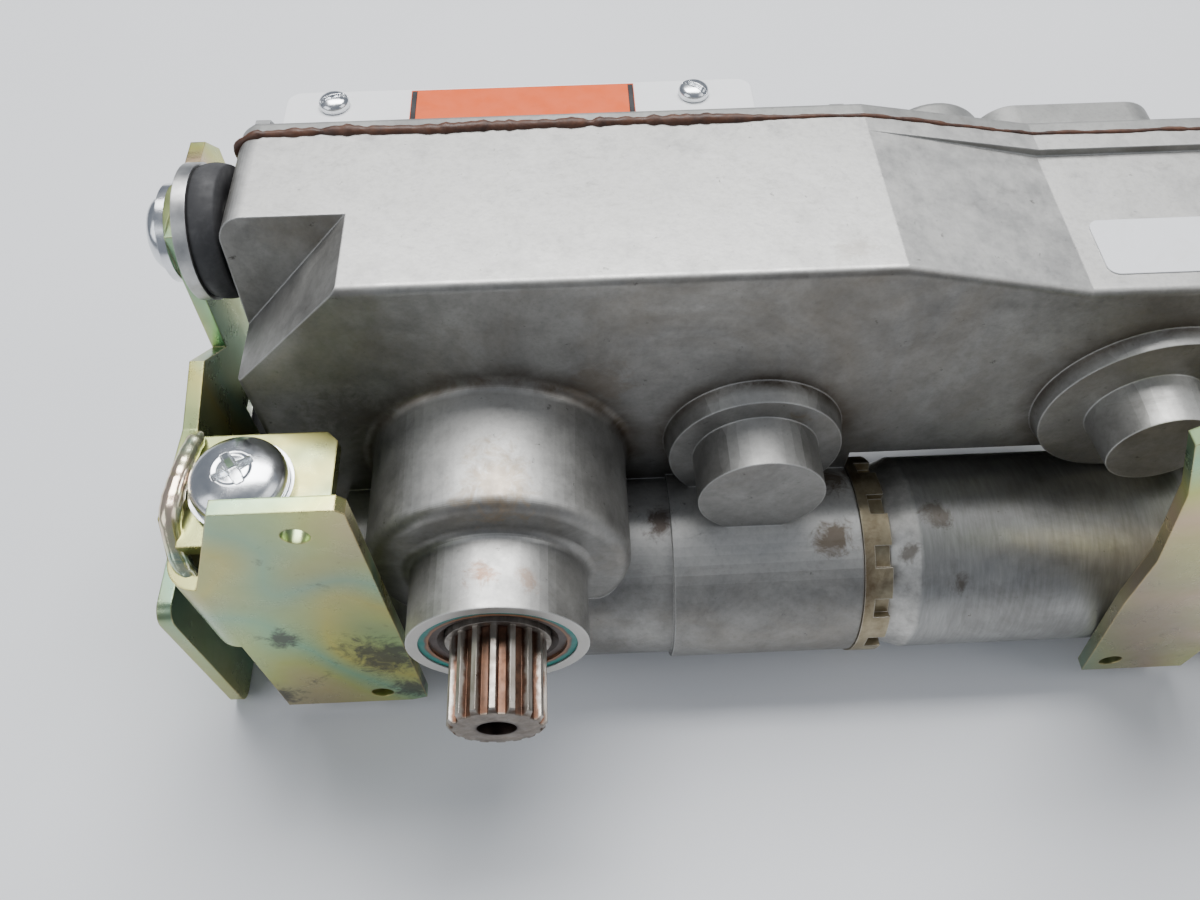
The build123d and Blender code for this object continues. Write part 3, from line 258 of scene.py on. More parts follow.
def case_casting(name, light, dark, grime):
    """The gear case: cast skin, grime and painted shade in the corners of its bosses, a painted
    highlight on its upward faces, and a few handling marks.
    """
    g = Graph(name, 0.72, 0.5)
    cloud = g.noise(24, 7, 0.66, 0.9)
    middle = tuple((a + b) / 2 for a, b in zip(dark, light))
    base = g.ramp(cloud, (0.30, dark), (0.50, middle), (0.70, light))
    blotch = g.span(g.noise(95, 7, 0.7, 0.5, seed=12.0), 0.44, 0.66)
    base = g.mix(g.math("MULTIPLY", blotch, 0.30), base, tuple(c * 0.55 for c in dark))
    # Painted highlight: faces turned up are lightened, as if lit from overhead.
    top = g.span(g.facing(0, 0, 1), 0.75, 0.98)
    base = g.mix(g.math("MULTIPLY", top, 0.62), base, (0.74, 0.735, 0.71))
    grain = g.span(g.noise(620, 6, 0.75, seed=15.0), 0.32, 0.68, 0.84, 1.10)
    base = g.mix(1.0, base, g.ramp(grain, (0.0, (0.0,) * 3), (1.0, (1.0,) * 3)), "MULTIPLY")
    scuff = g.span(g.noise(36, 9, 0.78, 2.6, g.stretched(0.8, 1.6, 1.0), 3.0), 0.56, 0.72)
    base = g.mix(g.math("MULTIPLY", scuff, 0.34), base, grime)
    brown = g.span(g.noise(13, 6, 0.7, 0.8, seed=21.0), 0.50, 0.72)
    low_front = g.span(g.facing(0, -1, 0), 0.3, 0.9)
    film = g.math("MULTIPLY", g.math("MULTIPLY", brown, low_front), 0.6)
    base = g.mix(film, base, (0.17, 0.14, 0.10))
    spots = g.span(g.noise(300, 5, 0.7, 0.4, seed=8.0), 0.64, 0.72)
    base = g.mix(g.math("MULTIPLY", spots, 0.7), base, tuple(c * 0.30 for c in grime))
    # Dark rings round the bosses' feet: dirt and painted shade in the corners, standing in for
    # occlusion.
    for x, z, radius, width, amount in (
        (0, 0, 38.0, 8.0, 0.85), (73.6, 7.7, 18.2, 3.5, 0.75), (73.6, 7.7, 25.6, 6.0, 0.85),
        (181.5, 19.9, 16.5, 3.5, 0.7), (181.5, 19.9, 28.8, 6.0, 0.7),
    ):
        ring = g.math("MULTIPLY", g.corner_grime_and_shade(x, z, radius, width), amount)
        base = g.mix(ring, base, (0.085, 0.065, 0.045))
    for x, y, z, radius, amount, color in (
        (2, 52, 36, 11, 0.55, (0.30, 0.21, 0.11)), (-2, 31, 23.5, 4.5, 0.75, (0.26, 0.11, 0.04)),
        (9, 30, 22, 3.5, 0.5, (0.30, 0.15, 0.07)), (46, 62, -10, 5, 0.8, (0.10, 0.06, 0.04)),
        (38, 66, -14, 4, 0.7, (0.09, 0.06, 0.04)), (96, 55, -10, 6, 0.8, (0.13, 0.09, 0.05)),
        (100, 74, -12, 7, 0.8, (0.12, 0.08, 0.05)), (60, 60, -14, 4, 0.5, (0.10, 0.08, 0.05)),
        (84, 78, 24, 5, 0.5, (0.18, 0.13, 0.07)), (30, 81, 35, 9, 0.4, (0.16, 0.12, 0.08)),
        (-40, 81, 25, 12, 0.5, (0.10, 0.085, 0.07)), (92, 88, 74, 6, 0.35, (0.25, 0.22, 0.18)),
    ):
        base = g.mix(g.math("MULTIPLY", g.patch(x, y, z, radius, x * 0.37), amount), base, color)
    rim = g.math("MULTIPLY", g.facing(0, -1, 0), g.span(g.axis("Y"), 22.6 * MM, 22.1 * MM))
    base = g.mix(g.math("MULTIPLY", rim, 0.75), base, (0.62, 0.60, 0.56))
    base = g.mix(g.math("MULTIPLY", g.edges(0.8 * MM), 0.55), base, (0.80, 0.80, 0.78))
    g.color(base)
    g.roughness(g.span(g.noise(120, 6, 0.65, seed=2.0), 0.3, 0.7, 0.34, 0.60))
    g.relief(
        (g.noise(1300, 4, 0.65), 0.35, 0.06 * MM), (g.noise(60, 6, 0.6), 0.30, 0.5 * MM),
        (g.noise(260, 4, 0.6, 0.3, seed=5.0), 0.18, 0.15 * MM), soften=0.6 * MM,
    )
    return g.material


def plated_zinc(name, tint):
    """Yellow chromate: gold, green, teal and pink bands that wander, with dark smudges."""
    g = Graph(name, 0.92, 0.3)
    wander = g.noise(7, 2.2, 0.45, 1.0, g.stretched(1.0, 1.2, 0.75), 2.6)
    bands = g.ramp(
        wander,
        (0.24, (0.20, 0.24, 0.20)), (0.34, (0.30, 0.50, 0.20)), (0.41, (0.60, 0.56, 0.12)),
        (0.46, (0.24, 0.52, 0.34)), (0.51, (0.50, 0.54, 0.16)), (0.56, (0.60, 0.40, 0.28)),
        (0.61, (0.52, 0.52, 0.14)), (0.68, (0.22, 0.46, 0.42)), (0.78, (0.44, 0.34, 0.10)),
    )
    base = g.mix(0.22, bands, tint)
    haze = g.span(g.noise(10, 3, 0.5, 0.8, seed=9.0), 0.44, 0.66)
    base = g.mix(g.math("MULTIPLY", haze, 0.55), base, (0.24, 0.24, 0.20))
    smudge = g.span(g.noise(30, 9, 0.76, 2.4, seed=5.0), 0.60, 0.70)
    base = g.mix(g.math("MULTIPLY", smudge, 0.80), base, (0.075, 0.065, 0.055))
    for x, y, z, radius in (
        (-33, 30, -22, 15), (-60, 30, -8, 6), (-30, 30, -50, 9), (-73, 30, -52, 8),
    ):
        soot = g.math("MULTIPLY", g.patch(x, y, z, radius, radius), 0.85)
        base = g.mix(soot, base, (0.06, 0.052, 0.045))
    base = g.mix(g.math("MULTIPLY", g.edges(0.7 * MM), 0.65), base, (0.66, 0.50, 0.24))
    g.color(base)
    g.roughness(g.span(g.noise(90, 6, 0.65, 0.5), 0.3, 0.7, 0.20, 0.42))
    g.relief(
        (g.noise(700, 3), 0.12, 0.05 * MM), (g.noise(40, 4), 0.15, 0.6 * MM), soften=0.6 * MM,
    )
    return g.material


def turned_steel(name, light, dark, stain, rough, lines=(1.0, 1.0, 1.0), stain_amount=0.5):
    """Machined steel: fine tool lines along one way, patchy stain, worn bright edges."""
    g = Graph(name, 0.95, rough)
    lay = g.noise(260, 4, 0.6, 0.0, g.stretched(*lines))
    base = g.ramp(lay, (0.3, dark), (0.7, light))
    patches = g.span(g.noise(55, 7, 0.7, 1.0, seed=4.0), 0.50, 0.70)
    base = g.mix(g.math("MULTIPLY", patches, stain_amount), base, stain)
    base = g.mix(g.math("MULTIPLY", g.edges(0.5 * MM), 0.4), base, (0.85, 0.85, 0.84))
    g.color(base)
    g.roughness(g.span(g.noise(180, 5, seed=1.0), 0.3, 0.7, rough * 0.8, rough * 1.35))
    g.relief((lay, 0.10, 0.05 * MM), (g.noise(60, 4), 0.08, 0.3 * MM), soften=0.35 * MM)
    return g.material


def tube_skin():
    """Turned tube: satin and slightly streaked, with a mottled painted highlight on the cone at its
    ring end.
    """
    g = Graph("tube_steel", 0.85, 0.4)
    lay = g.noise(240, 4, 0.6, 0.0, g.stretched(4.0, 0.5, 0.5))
    base = g.ramp(lay, (0.3, (0.26, 0.26, 0.25)), (0.7, (0.35, 0.35, 0.34)))
    patches = g.span(g.noise(34, 8, 0.72, 1.4, seed=4.0), 0.46, 0.70)
    base = g.mix(g.math("MULTIPLY", patches, 0.50), base, (0.12, 0.11, 0.095))
    specks = g.span(g.noise(340, 5, 0.7, seed=6.0), 0.66, 0.72)
    base = g.mix(g.math("MULTIPLY", specks, 0.75), base, (0.09, 0.07, 0.05))
    # Painted highlight: a mottled bright patch on the cone at the ring end.
    ragged = g.math("ADD", g.axis("X"), g.span(g.noise(160, 6), 0.3, 0.7, -0.6 * MM, 0.6 * MM))
    cone = g.span(ragged, 122.2 * MM, 120.8 * MM)
    bright = g.ramp(g.noise(190, 7, 0.7), (0.3, (0.30, 0.29, 0.27)), (0.65, (0.62, 0.61, 0.58)))
    base = g.mix(g.math("MULTIPLY", cone, 0.85), base, bright)
    for x, y, z, radius in (
        (133, 42, -18, 3.5), (118, 50, -12, 3.5), (128, 60, -9, 5), (196, 40, -20, 5),
    ):
        stain = g.math("MULTIPLY", g.patch(x, y, z, radius, x), 0.7)
        base = g.mix(stain, base, (0.09, 0.07, 0.05))
    g.color(base)
    g.roughness(g.span(g.noise(170, 5, seed=1.0), 0.3, 0.7, 0.34, 0.52))
    g.relief((lay, 0.07, 0.04 * MM), (g.noise(70, 5), 0.08, 0.3 * MM), soften=0.35 * MM)
    return g.material


def rubber(name, color, rough=0.62):
    g = Graph(name, 0.0, rough)
    dust = g.span(g.noise(120, 6, 0.7, 0.5), 0.45, 0.75)
    g.color(g.mix(g.math("MULTIPLY", dust, 0.3), color, tuple(0.12 + c * 0.8 for c in color)))
    g.roughness(g.span(g.noise(300, 4), 0.3, 0.7, rough * 0.85, rough * 1.2))
    g.relief((g.noise(900, 4), 0.25, 0.08 * MM))
    return g.material


def paint(name, color, dirt, rough=0.45, metallic=0.0, dirt_amount=0.25):
    g = Graph(name, metallic, rough)
    marks = g.span(g.noise(60, 8, 0.72, 1.4), 0.55, 0.74)
    base = g.mix(g.math("MULTIPLY", marks, dirt_amount), color, dirt)
    base = g.mix(g.math("MULTIPLY", g.edges(0.5 * MM), 0.35), base, tuple(c * 0.7 for c in color))
    g.color(base)
    g.roughness(g.span(g.noise(200, 4), 0.3, 0.7, rough * 0.8, rough * 1.25))
    g.relief((g.noise(800, 3), 0.10, 0.04 * MM), soften=0.4 * MM)
    return g.material


def spline_steel():
    """Bright steel on the teeth's tops, red-brown rust in the roots, and near-black inside and
    round the bore.
    """
    g = Graph("spline_steel", 0.9, 0.34)
    across = g.math("POWER", g.axis("X"), 2.0)
    radius = g.math("SQRT", g.math("ADD", across, g.math("POWER", g.axis("Z"), 2.0)))
    lay = g.noise(500, 4, 0.6, 0.0, g.stretched(1.0, 0.2, 1.0))
    steel = g.ramp(lay, (0.3, (0.22, 0.19, 0.16)), (0.7, (0.46, 0.43, 0.39)))
    rust = g.ramp(g.noise(420, 6, 0.7), (0.3, (0.05, 0.022, 0.012)), (0.7, (0.17, 0.07, 0.035)))
    rough_edge = g.math("ADD", radius, g.span(g.noise(300, 5), 0.3, 0.7, -0.5 * MM, 0.5 * MM))
    root = g.span(rough_edge, 11.6 * MM, 12.3 * MM, 0.9, 0.0)
    # Near-black inside and round the bore.
    bore = g.span(radius, 5.0 * MM, 6.2 * MM, 1.0, 0.0)
    end_face = g.math("MULTIPLY", g.span(g.axis("Y"), 0.15 * MM, 0.6 * MM, 1.0, 0.0), 0.85)
    face_steel = g.ramp(
        g.noise(220, 6, 0.65, 0.6), (0.3, (0.10, 0.08, 0.065)), (0.7, (0.28, 0.25, 0.21)),
    )
    base = g.mix(root, steel, rust)
    base = g.mix(end_face, base, face_steel)
    g.color(g.mix(g.math("MAXIMUM", bore, 0.0), base, (0.05, 0.035, 0.03)))
    g.roughness(g.span(g.noise(400, 5), 0.3, 0.7, 0.26, 0.55))
    g.relief((g.noise(900, 5), 0.22, 0.06 * MM), soften=0.25 * MM)
    return g.material


def seal_rubber():
    """Teal outer ring, rusty line, and a dark brown greasy lip, by distance from the spindle."""
    g = Graph("seal_rubber", 0.0, 0.4)
    across = g.math("POWER", g.axis("X"), 2.0)
    radius = g.math("SQRT", g.math("ADD", across, g.math("POWER", g.axis("Z"), 2.0)))
    ragged = g.math("ADD", radius, g.span(g.noise(260, 4), 0.3, 0.7, -0.3 * MM, 0.3 * MM))
    rings = g.ramp(
        g.span(ragged, 14 * MM, 21.5 * MM),
        (0.0, (0.045, 0.03, 0.022)), (0.52, (0.07, 0.04, 0.03)), (0.60, (0.30, 0.13, 0.05)),
        (0.68, (0.12, 0.07, 0.05)), (0.74, (0.01, 0.20, 0.17)), (1.0, (0.02, 0.30, 0.25)),
    )
    g.color(rings)
    g.roughness(g.span(g.noise(250, 4), 0.3, 0.7, 0.3, 0.55))
    g.relief((g.noise(700, 4), 0.3, 0.1 * MM))
    return g.material


def bright_plate(name, color=(0.80, 0.82, 0.84), rough=0.14):
    """Bright zinc or chrome with faint haze, fingerprints and pits."""
    g = Graph(name, 1.0, rough)
    haze = g.noise(70, 6, 0.65, 0.8)
    g.color(g.ramp(haze, (0.35, tuple(c * 0.82 for c in color)), (0.65, color)))
    g.roughness(g.span(g.noise(160, 6, 0.7), 0.3, 0.7, rough * 0.7, rough * 2.2))
    g.relief(
        (g.noise(120, 4), 0.05, 0.2 * MM), (g.noise(1400, 3), 0.05, 0.03 * MM), soften=0.2 * MM,
    )
    return g.material


def sealant():
    g = Graph("brown_sealant", 0.0, 0.5)
    g.color(g.ramp(
        g.noise(160, 6, 0.7), (0.35, (0.030, 0.012, 0.007)), (0.62, (0.11, 0.042, 0.020)),
    ))
    g.roughness(g.span(g.noise(300, 4), 0.3, 0.7, 0.35, 0.65))
    g.relief((g.noise(500, 6, 0.7), 0.6, 0.3 * MM))
    return g.material


def weld_metal():
    """Plated weld: shiny, yellow-green with a pink heat tint."""
    g = Graph("weld_metal", 0.95, 0.2)
    g.color(g.ramp(
        g.noise(60, 5, 0.6, 1.4),
        (0.34, (0.40, 0.52, 0.40)), (0.46, (0.78, 0.76, 0.50)), (0.56, (0.80, 0.62, 0.50)),
        (0.68, (0.70, 0.64, 0.26)),
    ))
    g.roughness(g.span(g.noise(200, 5), 0.3, 0.7, 0.12, 0.32))
    g.relief((g.noise(160, 4), 0.30, 0.4 * MM), (g.noise(700, 4), 0.15, 0.08 * MM))
    return g.material


def floor_finish():
    g = Graph("pale_floor", 0.0, 0.85)
    g.color(g.ramp(g.noise(6, 3), (0.3, (0.77, 0.78, 0.80)), (0.7, (0.81, 0.82, 0.84))))
    g.relief((g.noise(500, 3), 0.05, 0.05 * MM))
    return g.material


looks = {
    "cast": case_casting(
        "case_casting", (0.36, 0.355, 0.335), (0.17, 0.165, 0.155), (0.10, 0.082, 0.06),
    ),
    "cover": cast_aluminium(
        "cover_casting", (0.40, 0.40, 0.385), (0.24, 0.24, 0.23), (0.12, 0.10, 0.075),
    ),
    "zinc": plated_zinc("chromate_plate", (0.46, 0.44, 0.18)),
    # A darker copy of the chromate plate: painted shade for parts that sit in shadow.
    "zinc_shaded": plated_zinc("chromate_plate_shaded", (0.16, 0.14, 0.10)),
    "steel": turned_steel(
        "washer_steel", (0.55, 0.55, 0.54), (0.38, 0.38, 0.38), (0.22, 0.18, 0.14), 0.34,
    ),
    "tube": tube_skin(),
    "ring": turned_steel(
        "lock_ring_steel", (0.40, 0.35, 0.24), (0.22, 0.18, 0.115), (0.13, 0.075, 0.035), 0.42,
        (1.0, 1.0, 1.0), 0.85,
    ),
    "gear": turned_steel(
        "gear_steel", (0.50, 0.50, 0.51), (0.36, 0.36, 0.37), (0.20, 0.17, 0.10), 0.3,
    ),
    "bearing": bright_plate("bearing_steel", (0.72, 0.72, 0.74), 0.16),
    "bright": bright_plate("bright_zinc"),
    "rubber": rubber("black_rubber", (0.022, 0.022, 0.024)),
    "belt": rubber("belt_rubber", (0.03, 0.03, 0.03), 0.7),
    "white": paint("white_paint", (0.90, 0.905, 0.91), (0.55, 0.52, 0.47)),
    "orange": paint("orange_vinyl", (0.80, 0.115, 0.015), (0.36, 0.07, 0.02), 0.38),
    "black": paint("black_ink", (0.02, 0.02, 0.022), (0.08, 0.07, 0.06), 0.4),
    "label": paint("white_vinyl", (0.84, 0.85, 0.87), (0.66, 0.64, 0.60), 0.35),
    "motor": paint("motor_black", (0.035, 0.035, 0.038), (0.10, 0.09, 0.08), 0.35, 0.2),
    "magnet": paint("ferrite", (0.06, 0.06, 0.065), (0.12, 0.10, 0.09), 0.6),
    "copper": turned_steel(
        "copper_windings", (0.62, 0.30, 0.15), (0.40, 0.18, 0.09), (0.2, 0.1, 0.06), 0.32,
    ),
    "bronze": turned_steel(
        "sintered_bronze", (0.60, 0.44, 0.22), (0.42, 0.30, 0.15), (0.25, 0.18, 0.1), 0.45,
    ),
    "board": paint("circuit_board", (0.02, 0.16, 0.07), (0.05, 0.22, 0.10), 0.4),
    "chips": paint("component_plastic", (0.04, 0.04, 0.045), (0.10, 0.10, 0.10), 0.5),
    "pulley": turned_steel(
        "pulley_metal", (0.62, 0.62, 0.62), (0.48, 0.48, 0.48), (0.25, 0.22, 0.18), 0.3,
    ),
    "spline": spline_steel(),
    "seal": seal_rubber(),
    "sealant": sealant(),
    "weld": weld_metal(),
}
node_looks = {
    "cast": ("housing",),
    "cover": ("cover",),
    "sealant": ("gasket",),
    "zinc": ("left_bracket", "right_bracket"),
    # The back plates and spacer bars take the darker copy of the plating: painted shade.
    "zinc_shaded": ("left_back_plate", "right_back_plate", "spacer_bars"),
    "steel": (
        "mount_inner_washers", "tab_nut", "cover_screws", "idler_bolt", "motor_front_plate",
        "sector_key",
        "spring_plate", "spring_seat", "compression_spring", "spring_adjuster",
    ),
    "tube": ("spring_tube", "spring_tube_cap"),
    "ring": ("castellated_lock_ring",),
    "gear": ("sector_gear", "rack_piston", "layshaft"),
    "bright": (
        "mount_outer_washers", "front_mount_bolts", "back_mount_bolts", "tab_washer", "tab_screw",
        "electrics_screws",
    ),
    "rubber": ("front_mount_rubbers", "back_mount_rubbers"),
    "belt": ("toothed_belt",),
    "white": ("electrics_tray", "electrics_lid"),
    "orange": ("orange_label",),
    "label": ("white_label",),
    "motor": ("motor_can", "motor_end_bell"),
    "magnet": ("motor_magnets",),
    "copper": ("motor_armature",),
    "bronze": ("motor_shaft_bush",),
    "board": ("control_board",),
    "chips": ("board_components",),
    "pulley": ("layshaft_pulley", "motor_pulley", "idler_pulley"),
    "spline": ("spindle",),
    "seal": ("seal_case", "seal_lip"),
}
for look, names in node_looks.items():
    for name in names:
        nodes[name].data.materials.clear()
        nodes[name].data.materials.append(looks[look])
for name, node in nodes.items():
    if "bearing" in name:
        node.data.materials.clear()
        node.data.materials.append(looks["bearing"])


# ------------------------------------------------------------------ mesh building blocks
def piece(name, vertices, faces, look, body="frame", smooth=True):
    """A mesh piece in the row frame that rides on a body."""
    mesh = bpy.data.meshes.new(name)
    mesh.from_pydata([tuple(v) for v in vertices], [], faces)
    mesh.validate()
    mesh.update()
    if smooth:
        mesh.polygons.foreach_set("use_smooth", [True] * len(mesh.polygons))
    mesh.materials.append(looks[look])
    obj = bpy.data.objects.new(name, mesh)
    bpy.context.scene.collection.objects.link(obj)
    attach(obj, body)
    return obj


def tube_along(path, radii, sides=12):
    """Vertices and faces of a closed tube whose radius changes along a list of points."""
    vertices, faces = [], []
    side = Vector((0.13, 0.29, 0.95)).normalized()
    for i, point in enumerate(path):
        ahead = (path[min(i + 1, len(path) - 1)] - path[max(i - 1, 0)]).normalized()
        side = (side - ahead * side.dot(ahead)).normalized()
        other = ahead.cross(side)
        for k in range(sides):
            turn = 2 * math.pi * k / sides
            vertices.append(point + (side * math.cos(turn) + other * math.sin(turn)) * radii[i])
    for i in range(len(path) - 1):
        for k in range(sides):
            n = (k + 1) % sides
            faces.append((i * sides + k, i * sides + n, (i + 1) * sides + n, (i + 1) * sides + k))
    faces.append(tuple(reversed(range(sides))))
    faces.append(tuple((len(path) - 1) * sides + k for k in range(sides)))
    return vertices, faces


def resample(points, step):
    """Evenly spaced points on the straight runs between the given points."""
    out = [points[0]]
    for a, b in zip(points, points[1:]):
        count = max(1, round((b - a).length / step))
        out += [a.lerp(b, (i + 1) / count) for i in range(count)]
    return out


def revolved(profile, place, sides=64):
    """Vertices and faces of a closed profile of (radius, height) turned about local Z."""
    vertices, faces = [], []
    for r, h in profile:
        for k in range(sides):
            turn = 2 * math.pi * k / sides
            vertices.append(place @ Vector((r * math.cos(turn), r * math.sin(turn), h)))
    count = len(profile)
    for i in range(count):
        for k in range(sides):
            n, j = (k + 1) % sides, (i + 1) % count
            faces.append((i * sides + k, i * sides + n, j * sides + n, j * sides + k))
    return vertices, faces


def domed_head(place, radius, height, recess, rings=44, sides=96):
    """Vertices and faces of a screw head; recess(x, y) gives the depth cut at a point of it."""
    vertices, faces = [], []
    for i in range(1, rings + 1):
        r = radius * math.sin(math.pi / 2 * i / rings)
        for k in range(sides):
            turn = 2 * math.pi * k / sides
            x, y = r * math.cos(turn), r * math.sin(turn)
            crown = height * math.sqrt(max(0.0, 1 - (r / radius) ** 2)) ** 0.72
            vertices.append(place @ Vector((x, y, crown - recess(x, y))))
    for i in range(rings - 1):
        for k in range(sides):
            n = (k + 1) % sides
            faces.append((i * sides + k, (i + 1) * sides + k, (i + 1) * sides + n, i * sides + n))
    first = len(vertices)
    vertices.append(place @ Vector((0, 0, height - recess(0, 0))))
    vertices.append(place @ Vector((0, 0, -0.6 * MM)))
    last = (rings - 1) * sides
    for k in range(sides):
        n = (k + 1) % sides
        faces.append((first, k, n))
        faces.append((first + 1, last + n, last + k))
    return vertices, faces


def smooth_step(value, low, high):
    t = min(1.0, max(0.0, (value - low) / (high - low)))
    return t * t * (3 - 2 * t)


def cross_recess(arm, width, depth):
    """Depth of a cross recess whose wings taper to points at the arm's length."""
    def cut(x, y):
        deepest = 0.0
        for along, across in ((abs(x), abs(y)), (abs(y), abs(x))):
            taper = 1 - 0.35 * min(1.0, along / arm)
            reach = 1 - smooth_step(along, arm * 0.35, arm) * 0.75 if along < arm else 0.0
            wall = 1 - smooth_step(across, width * taper * 0.72, width * taper)
            deepest = max(deepest, reach * wall)
        flare = 0.10 * (1 - smooth_step(math.hypot(x, y), arm * 0.75, arm))
        return depth * min(1.0, deepest + flare)
    return cut


def slot_recess(length, width, depth):
    def cut(x, y):
        wall = 1 - smooth_step(abs(y), width * 0.7, width)
        return depth * wall * (1 - smooth_step(abs(x), length, length * 1.15))
    return cut


def on_plane(origin, across, normal, spin=0.0):
    """Matrix whose local X is across and local Z is normal, turned by spin degrees."""
    z = Vector(normal).normalized()
    x = (Vector(across) - z * Vector(across).dot(z)).normalized()
    turn = Matrix((x, z.cross(x), z)).transposed().to_4x4()
    return Matrix.Translation(origin) @ turn @ Matrix.Rotation(math.radians(spin), 4, "Z")


# ------------------------------------------------------------------ sealant squeezed from the joint
def sealant_bead():
    """A lumpy bead round the joint, fat near the left and middle of the top edge."""
    y = (gasket_low.y + gasket_high.y) / 2
    left, right, low = gasket_low.x, gasket_high.x, gasket_low.z
    top, corner = gasket_high.z, 7 * MM
    centre = Vector((left + corner, y, top - corner))
    rounded = [
        centre + Vector((-math.cos(a), 0, math.sin(a))) * corner
        for a in (math.radians(9 * i) for i in range(11))
    ]
    outline = [Vector((left, y, low + 8 * MM)), *rounded, Vector((103 * MM, y, top))]
    outline += [Vector((151.5 * MM, y, 65.2 * MM)), Vector((right - 7 * MM, y, 65.2 * MM))]
    path, radii = [], []
    for point in resample(outline, 1.1 * MM):
        lump = noise.noise(point * 140) * 0.5 + noise.noise(point * 420 + Vector((3, 1, 7))) * 0.5
        x = point.x / MM
        fat = 0.60 + 0.95 * smooth_step(x, -64, -40) * (1 - smooth_step(x, 52, 92))
        if point.z < top - 8 * MM and x < -60:
            fat = 0.9
        if abs(x + 62) < 5:
            fat += 0.7
        radius = max(0.35, fat * (1 + 0.9 * lump)) * MM
        drift = Vector((0, noise.noise(point * 90 + Vector((9, 2, 4))) * 0.7 * MM, 0))
        path.append(point + drift)
        radii.append(radius)
    piece("sealant_bead", *tube_along(path, radii, 10), "sealant")


# ------------------------------------------------------------------ weld on the left bracket
def weld_bead():
    """A rippled bead that joins the leg, the tab and the flange."""
    outer = bracket_left
    route = [
        Vector((outer + 4.6 * MM, FRONT_Y - 9 * MM, 31.5 * MM)),
        Vector((outer + 3.4 * MM, FRONT_Y - 17 * MM, 33.0 * MM)),
        Vector((outer + 2.6 * MM, FRONT_Y - 27 * MM, 33.8 * MM)),
        Vector((outer + 2.2 * MM, FRONT_Y - 35 * MM, 33.0 * MM)),
        Vector((outer + 2.6 * MM, FRONT_Y - 40 * MM, 27.5 * MM)),
        Vector((outer + 4.2 * MM, FRONT_Y - 44.5 * MM, 23.0 * MM)),
        Vector((outer + 8.0 * MM, FRONT_Y - 47.5 * MM, 22.0 * MM)),
    ]
    points = resample(route, 0.5 * MM)
    for _ in range(30):
        inner = [(a + b * 2 + c) / 4 for a, b, c in zip(points, points[1:], points[2:])]
        points = [points[0], *inner, points[-1]]
    radii = []
    for i, point in enumerate(points):
        lump = 1 + 0.22 * noise.noise(point * 110) + 0.05 * noise.noise(point * 420)
        ends = min(1.0, 0.45 + 0.10 * min(i, len(points) - 1 - i))
        radii.append(2.3 * MM * lump * ends)
    piece("weld_bead", *tube_along(points, radii, 20), "weld")


# ------------------------------------------------------------------ screws
def tab_screw():
    """Big truss-head screw with a cross recess and a shank, in place of the plain one."""
    x = (screw_low.x + screw_high.x) / 2
    y = (screw_low.y + screw_high.y) / 2
    seat = washer_top
    place = on_plane((x, y, seat + 1.2 * MM), (1, 0, 0), (0, 0, 1), 32)
    recess = cross_recess(5.2 * MM, 1.7 * MM, 3.6 * MM)
    head = domed_head(place, 12.4 * MM, 6.6 * MM, recess, 110, 240)
    obj = piece("tab_screw_head", *head, "bright")
    rim = [
        (12.0, -1.2), (12.4, -0.9), (12.4, 0.05), (12.0, 0.2), (5.0, 0.2), (5.0, -15.0),
        (4.4, -15.9), (1.0, -15.9), (1.0, -1.2),
    ]
    profile = [(r * MM, h * MM) for r, h in rim]
    shank = piece("tab_screw_shank", *revolved(profile, place), "bright")
    shank.parent = obj
    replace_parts(obj, "tab_screw")


def flap_screws():
    """Slotted pan-head screws on the electrics box, in place of the plain ones."""
    y = tray_low.y + (tray_high.y - tray_low.y) * 0.63
    made = []
    for side, face in ((1, tray_high.z), (-1, tray_low.z)):
        for x, spin in ((-40.5 * MM, 20), (59.0 * MM, -38)):
            place = on_plane((x, y, face + side * 0.7 * MM), (1, 0, 0), (0, 0, side), spin)
            head = domed_head(
                place, 4.2 * MM, 2.4 * MM, slot_recess(3.6 * MM, 0.62 * MM, 1.3 * MM), 26, 72
            )
            rim = [
                (4.2, -0.7), (4.2, 0.1), (3.6, 0.3), (1.9, 0.3), (1.9, -4.0), (0.4, -4.4),
                (0.4, -0.7),
            ]
            made.append((head, revolved([(r * MM, h * MM) for r, h in rim], place, 48)))
    vertices, faces = [], []
    for pair in made:
        for some_vertices, some_faces in pair:
            start = len(vertices)
            vertices += some_vertices
            faces += [tuple(start + i for i in face) for face in some_faces]
    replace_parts(piece("pan_screws", vertices, faces, "bright"), "electrics_screws")


# ------------------------------------------------------------------ labels
def printed_bar(name, x0, x1, y0, y1, z, look):
    """A thin printed patch with slightly ragged edges."""
    count = 14
    rng = random.Random(name)
    lower = [(x0 + (x1 - x0) * i / count, y0 + rng.uniform(0, 0.12) * MM) for i in range(count + 1)]
    upper = [(x0 + (x1 - x0) * i / count, y1 - rng.uniform(0, 0.12) * MM) for i in range(count + 1)]
    ring = lower + upper[::-1]
    total = len(ring)
    vertices = [(x, y, z) for x, y in ring] + [(x, y, z + 0.06 * MM) for x, y in ring]
    faces = [tuple(reversed(range(total))), tuple(range(total, 2 * total))]
    faces += [(i, (i + 1) % total, total + (i + 1) % total, total + i) for i in range(total)]
    piece(name, vertices, faces, look, smooth=False)


def labels():
    z = orange_high.z
    bar = 1.6 * MM
    y0, y1 = orange_low.y + 0.4 * MM, orange_high.y - 0.4 * MM
    margin = 0.2 * MM
    for name, x0, x1 in (
        ("label_bar_left", orange_low.x + margin, orange_low.x + bar),
        ("label_bar_right", orange_high.x - bar, orange_high.x - margin),
    ):
        printed_bar(name, x0, x1, y0, y1, z, "black")


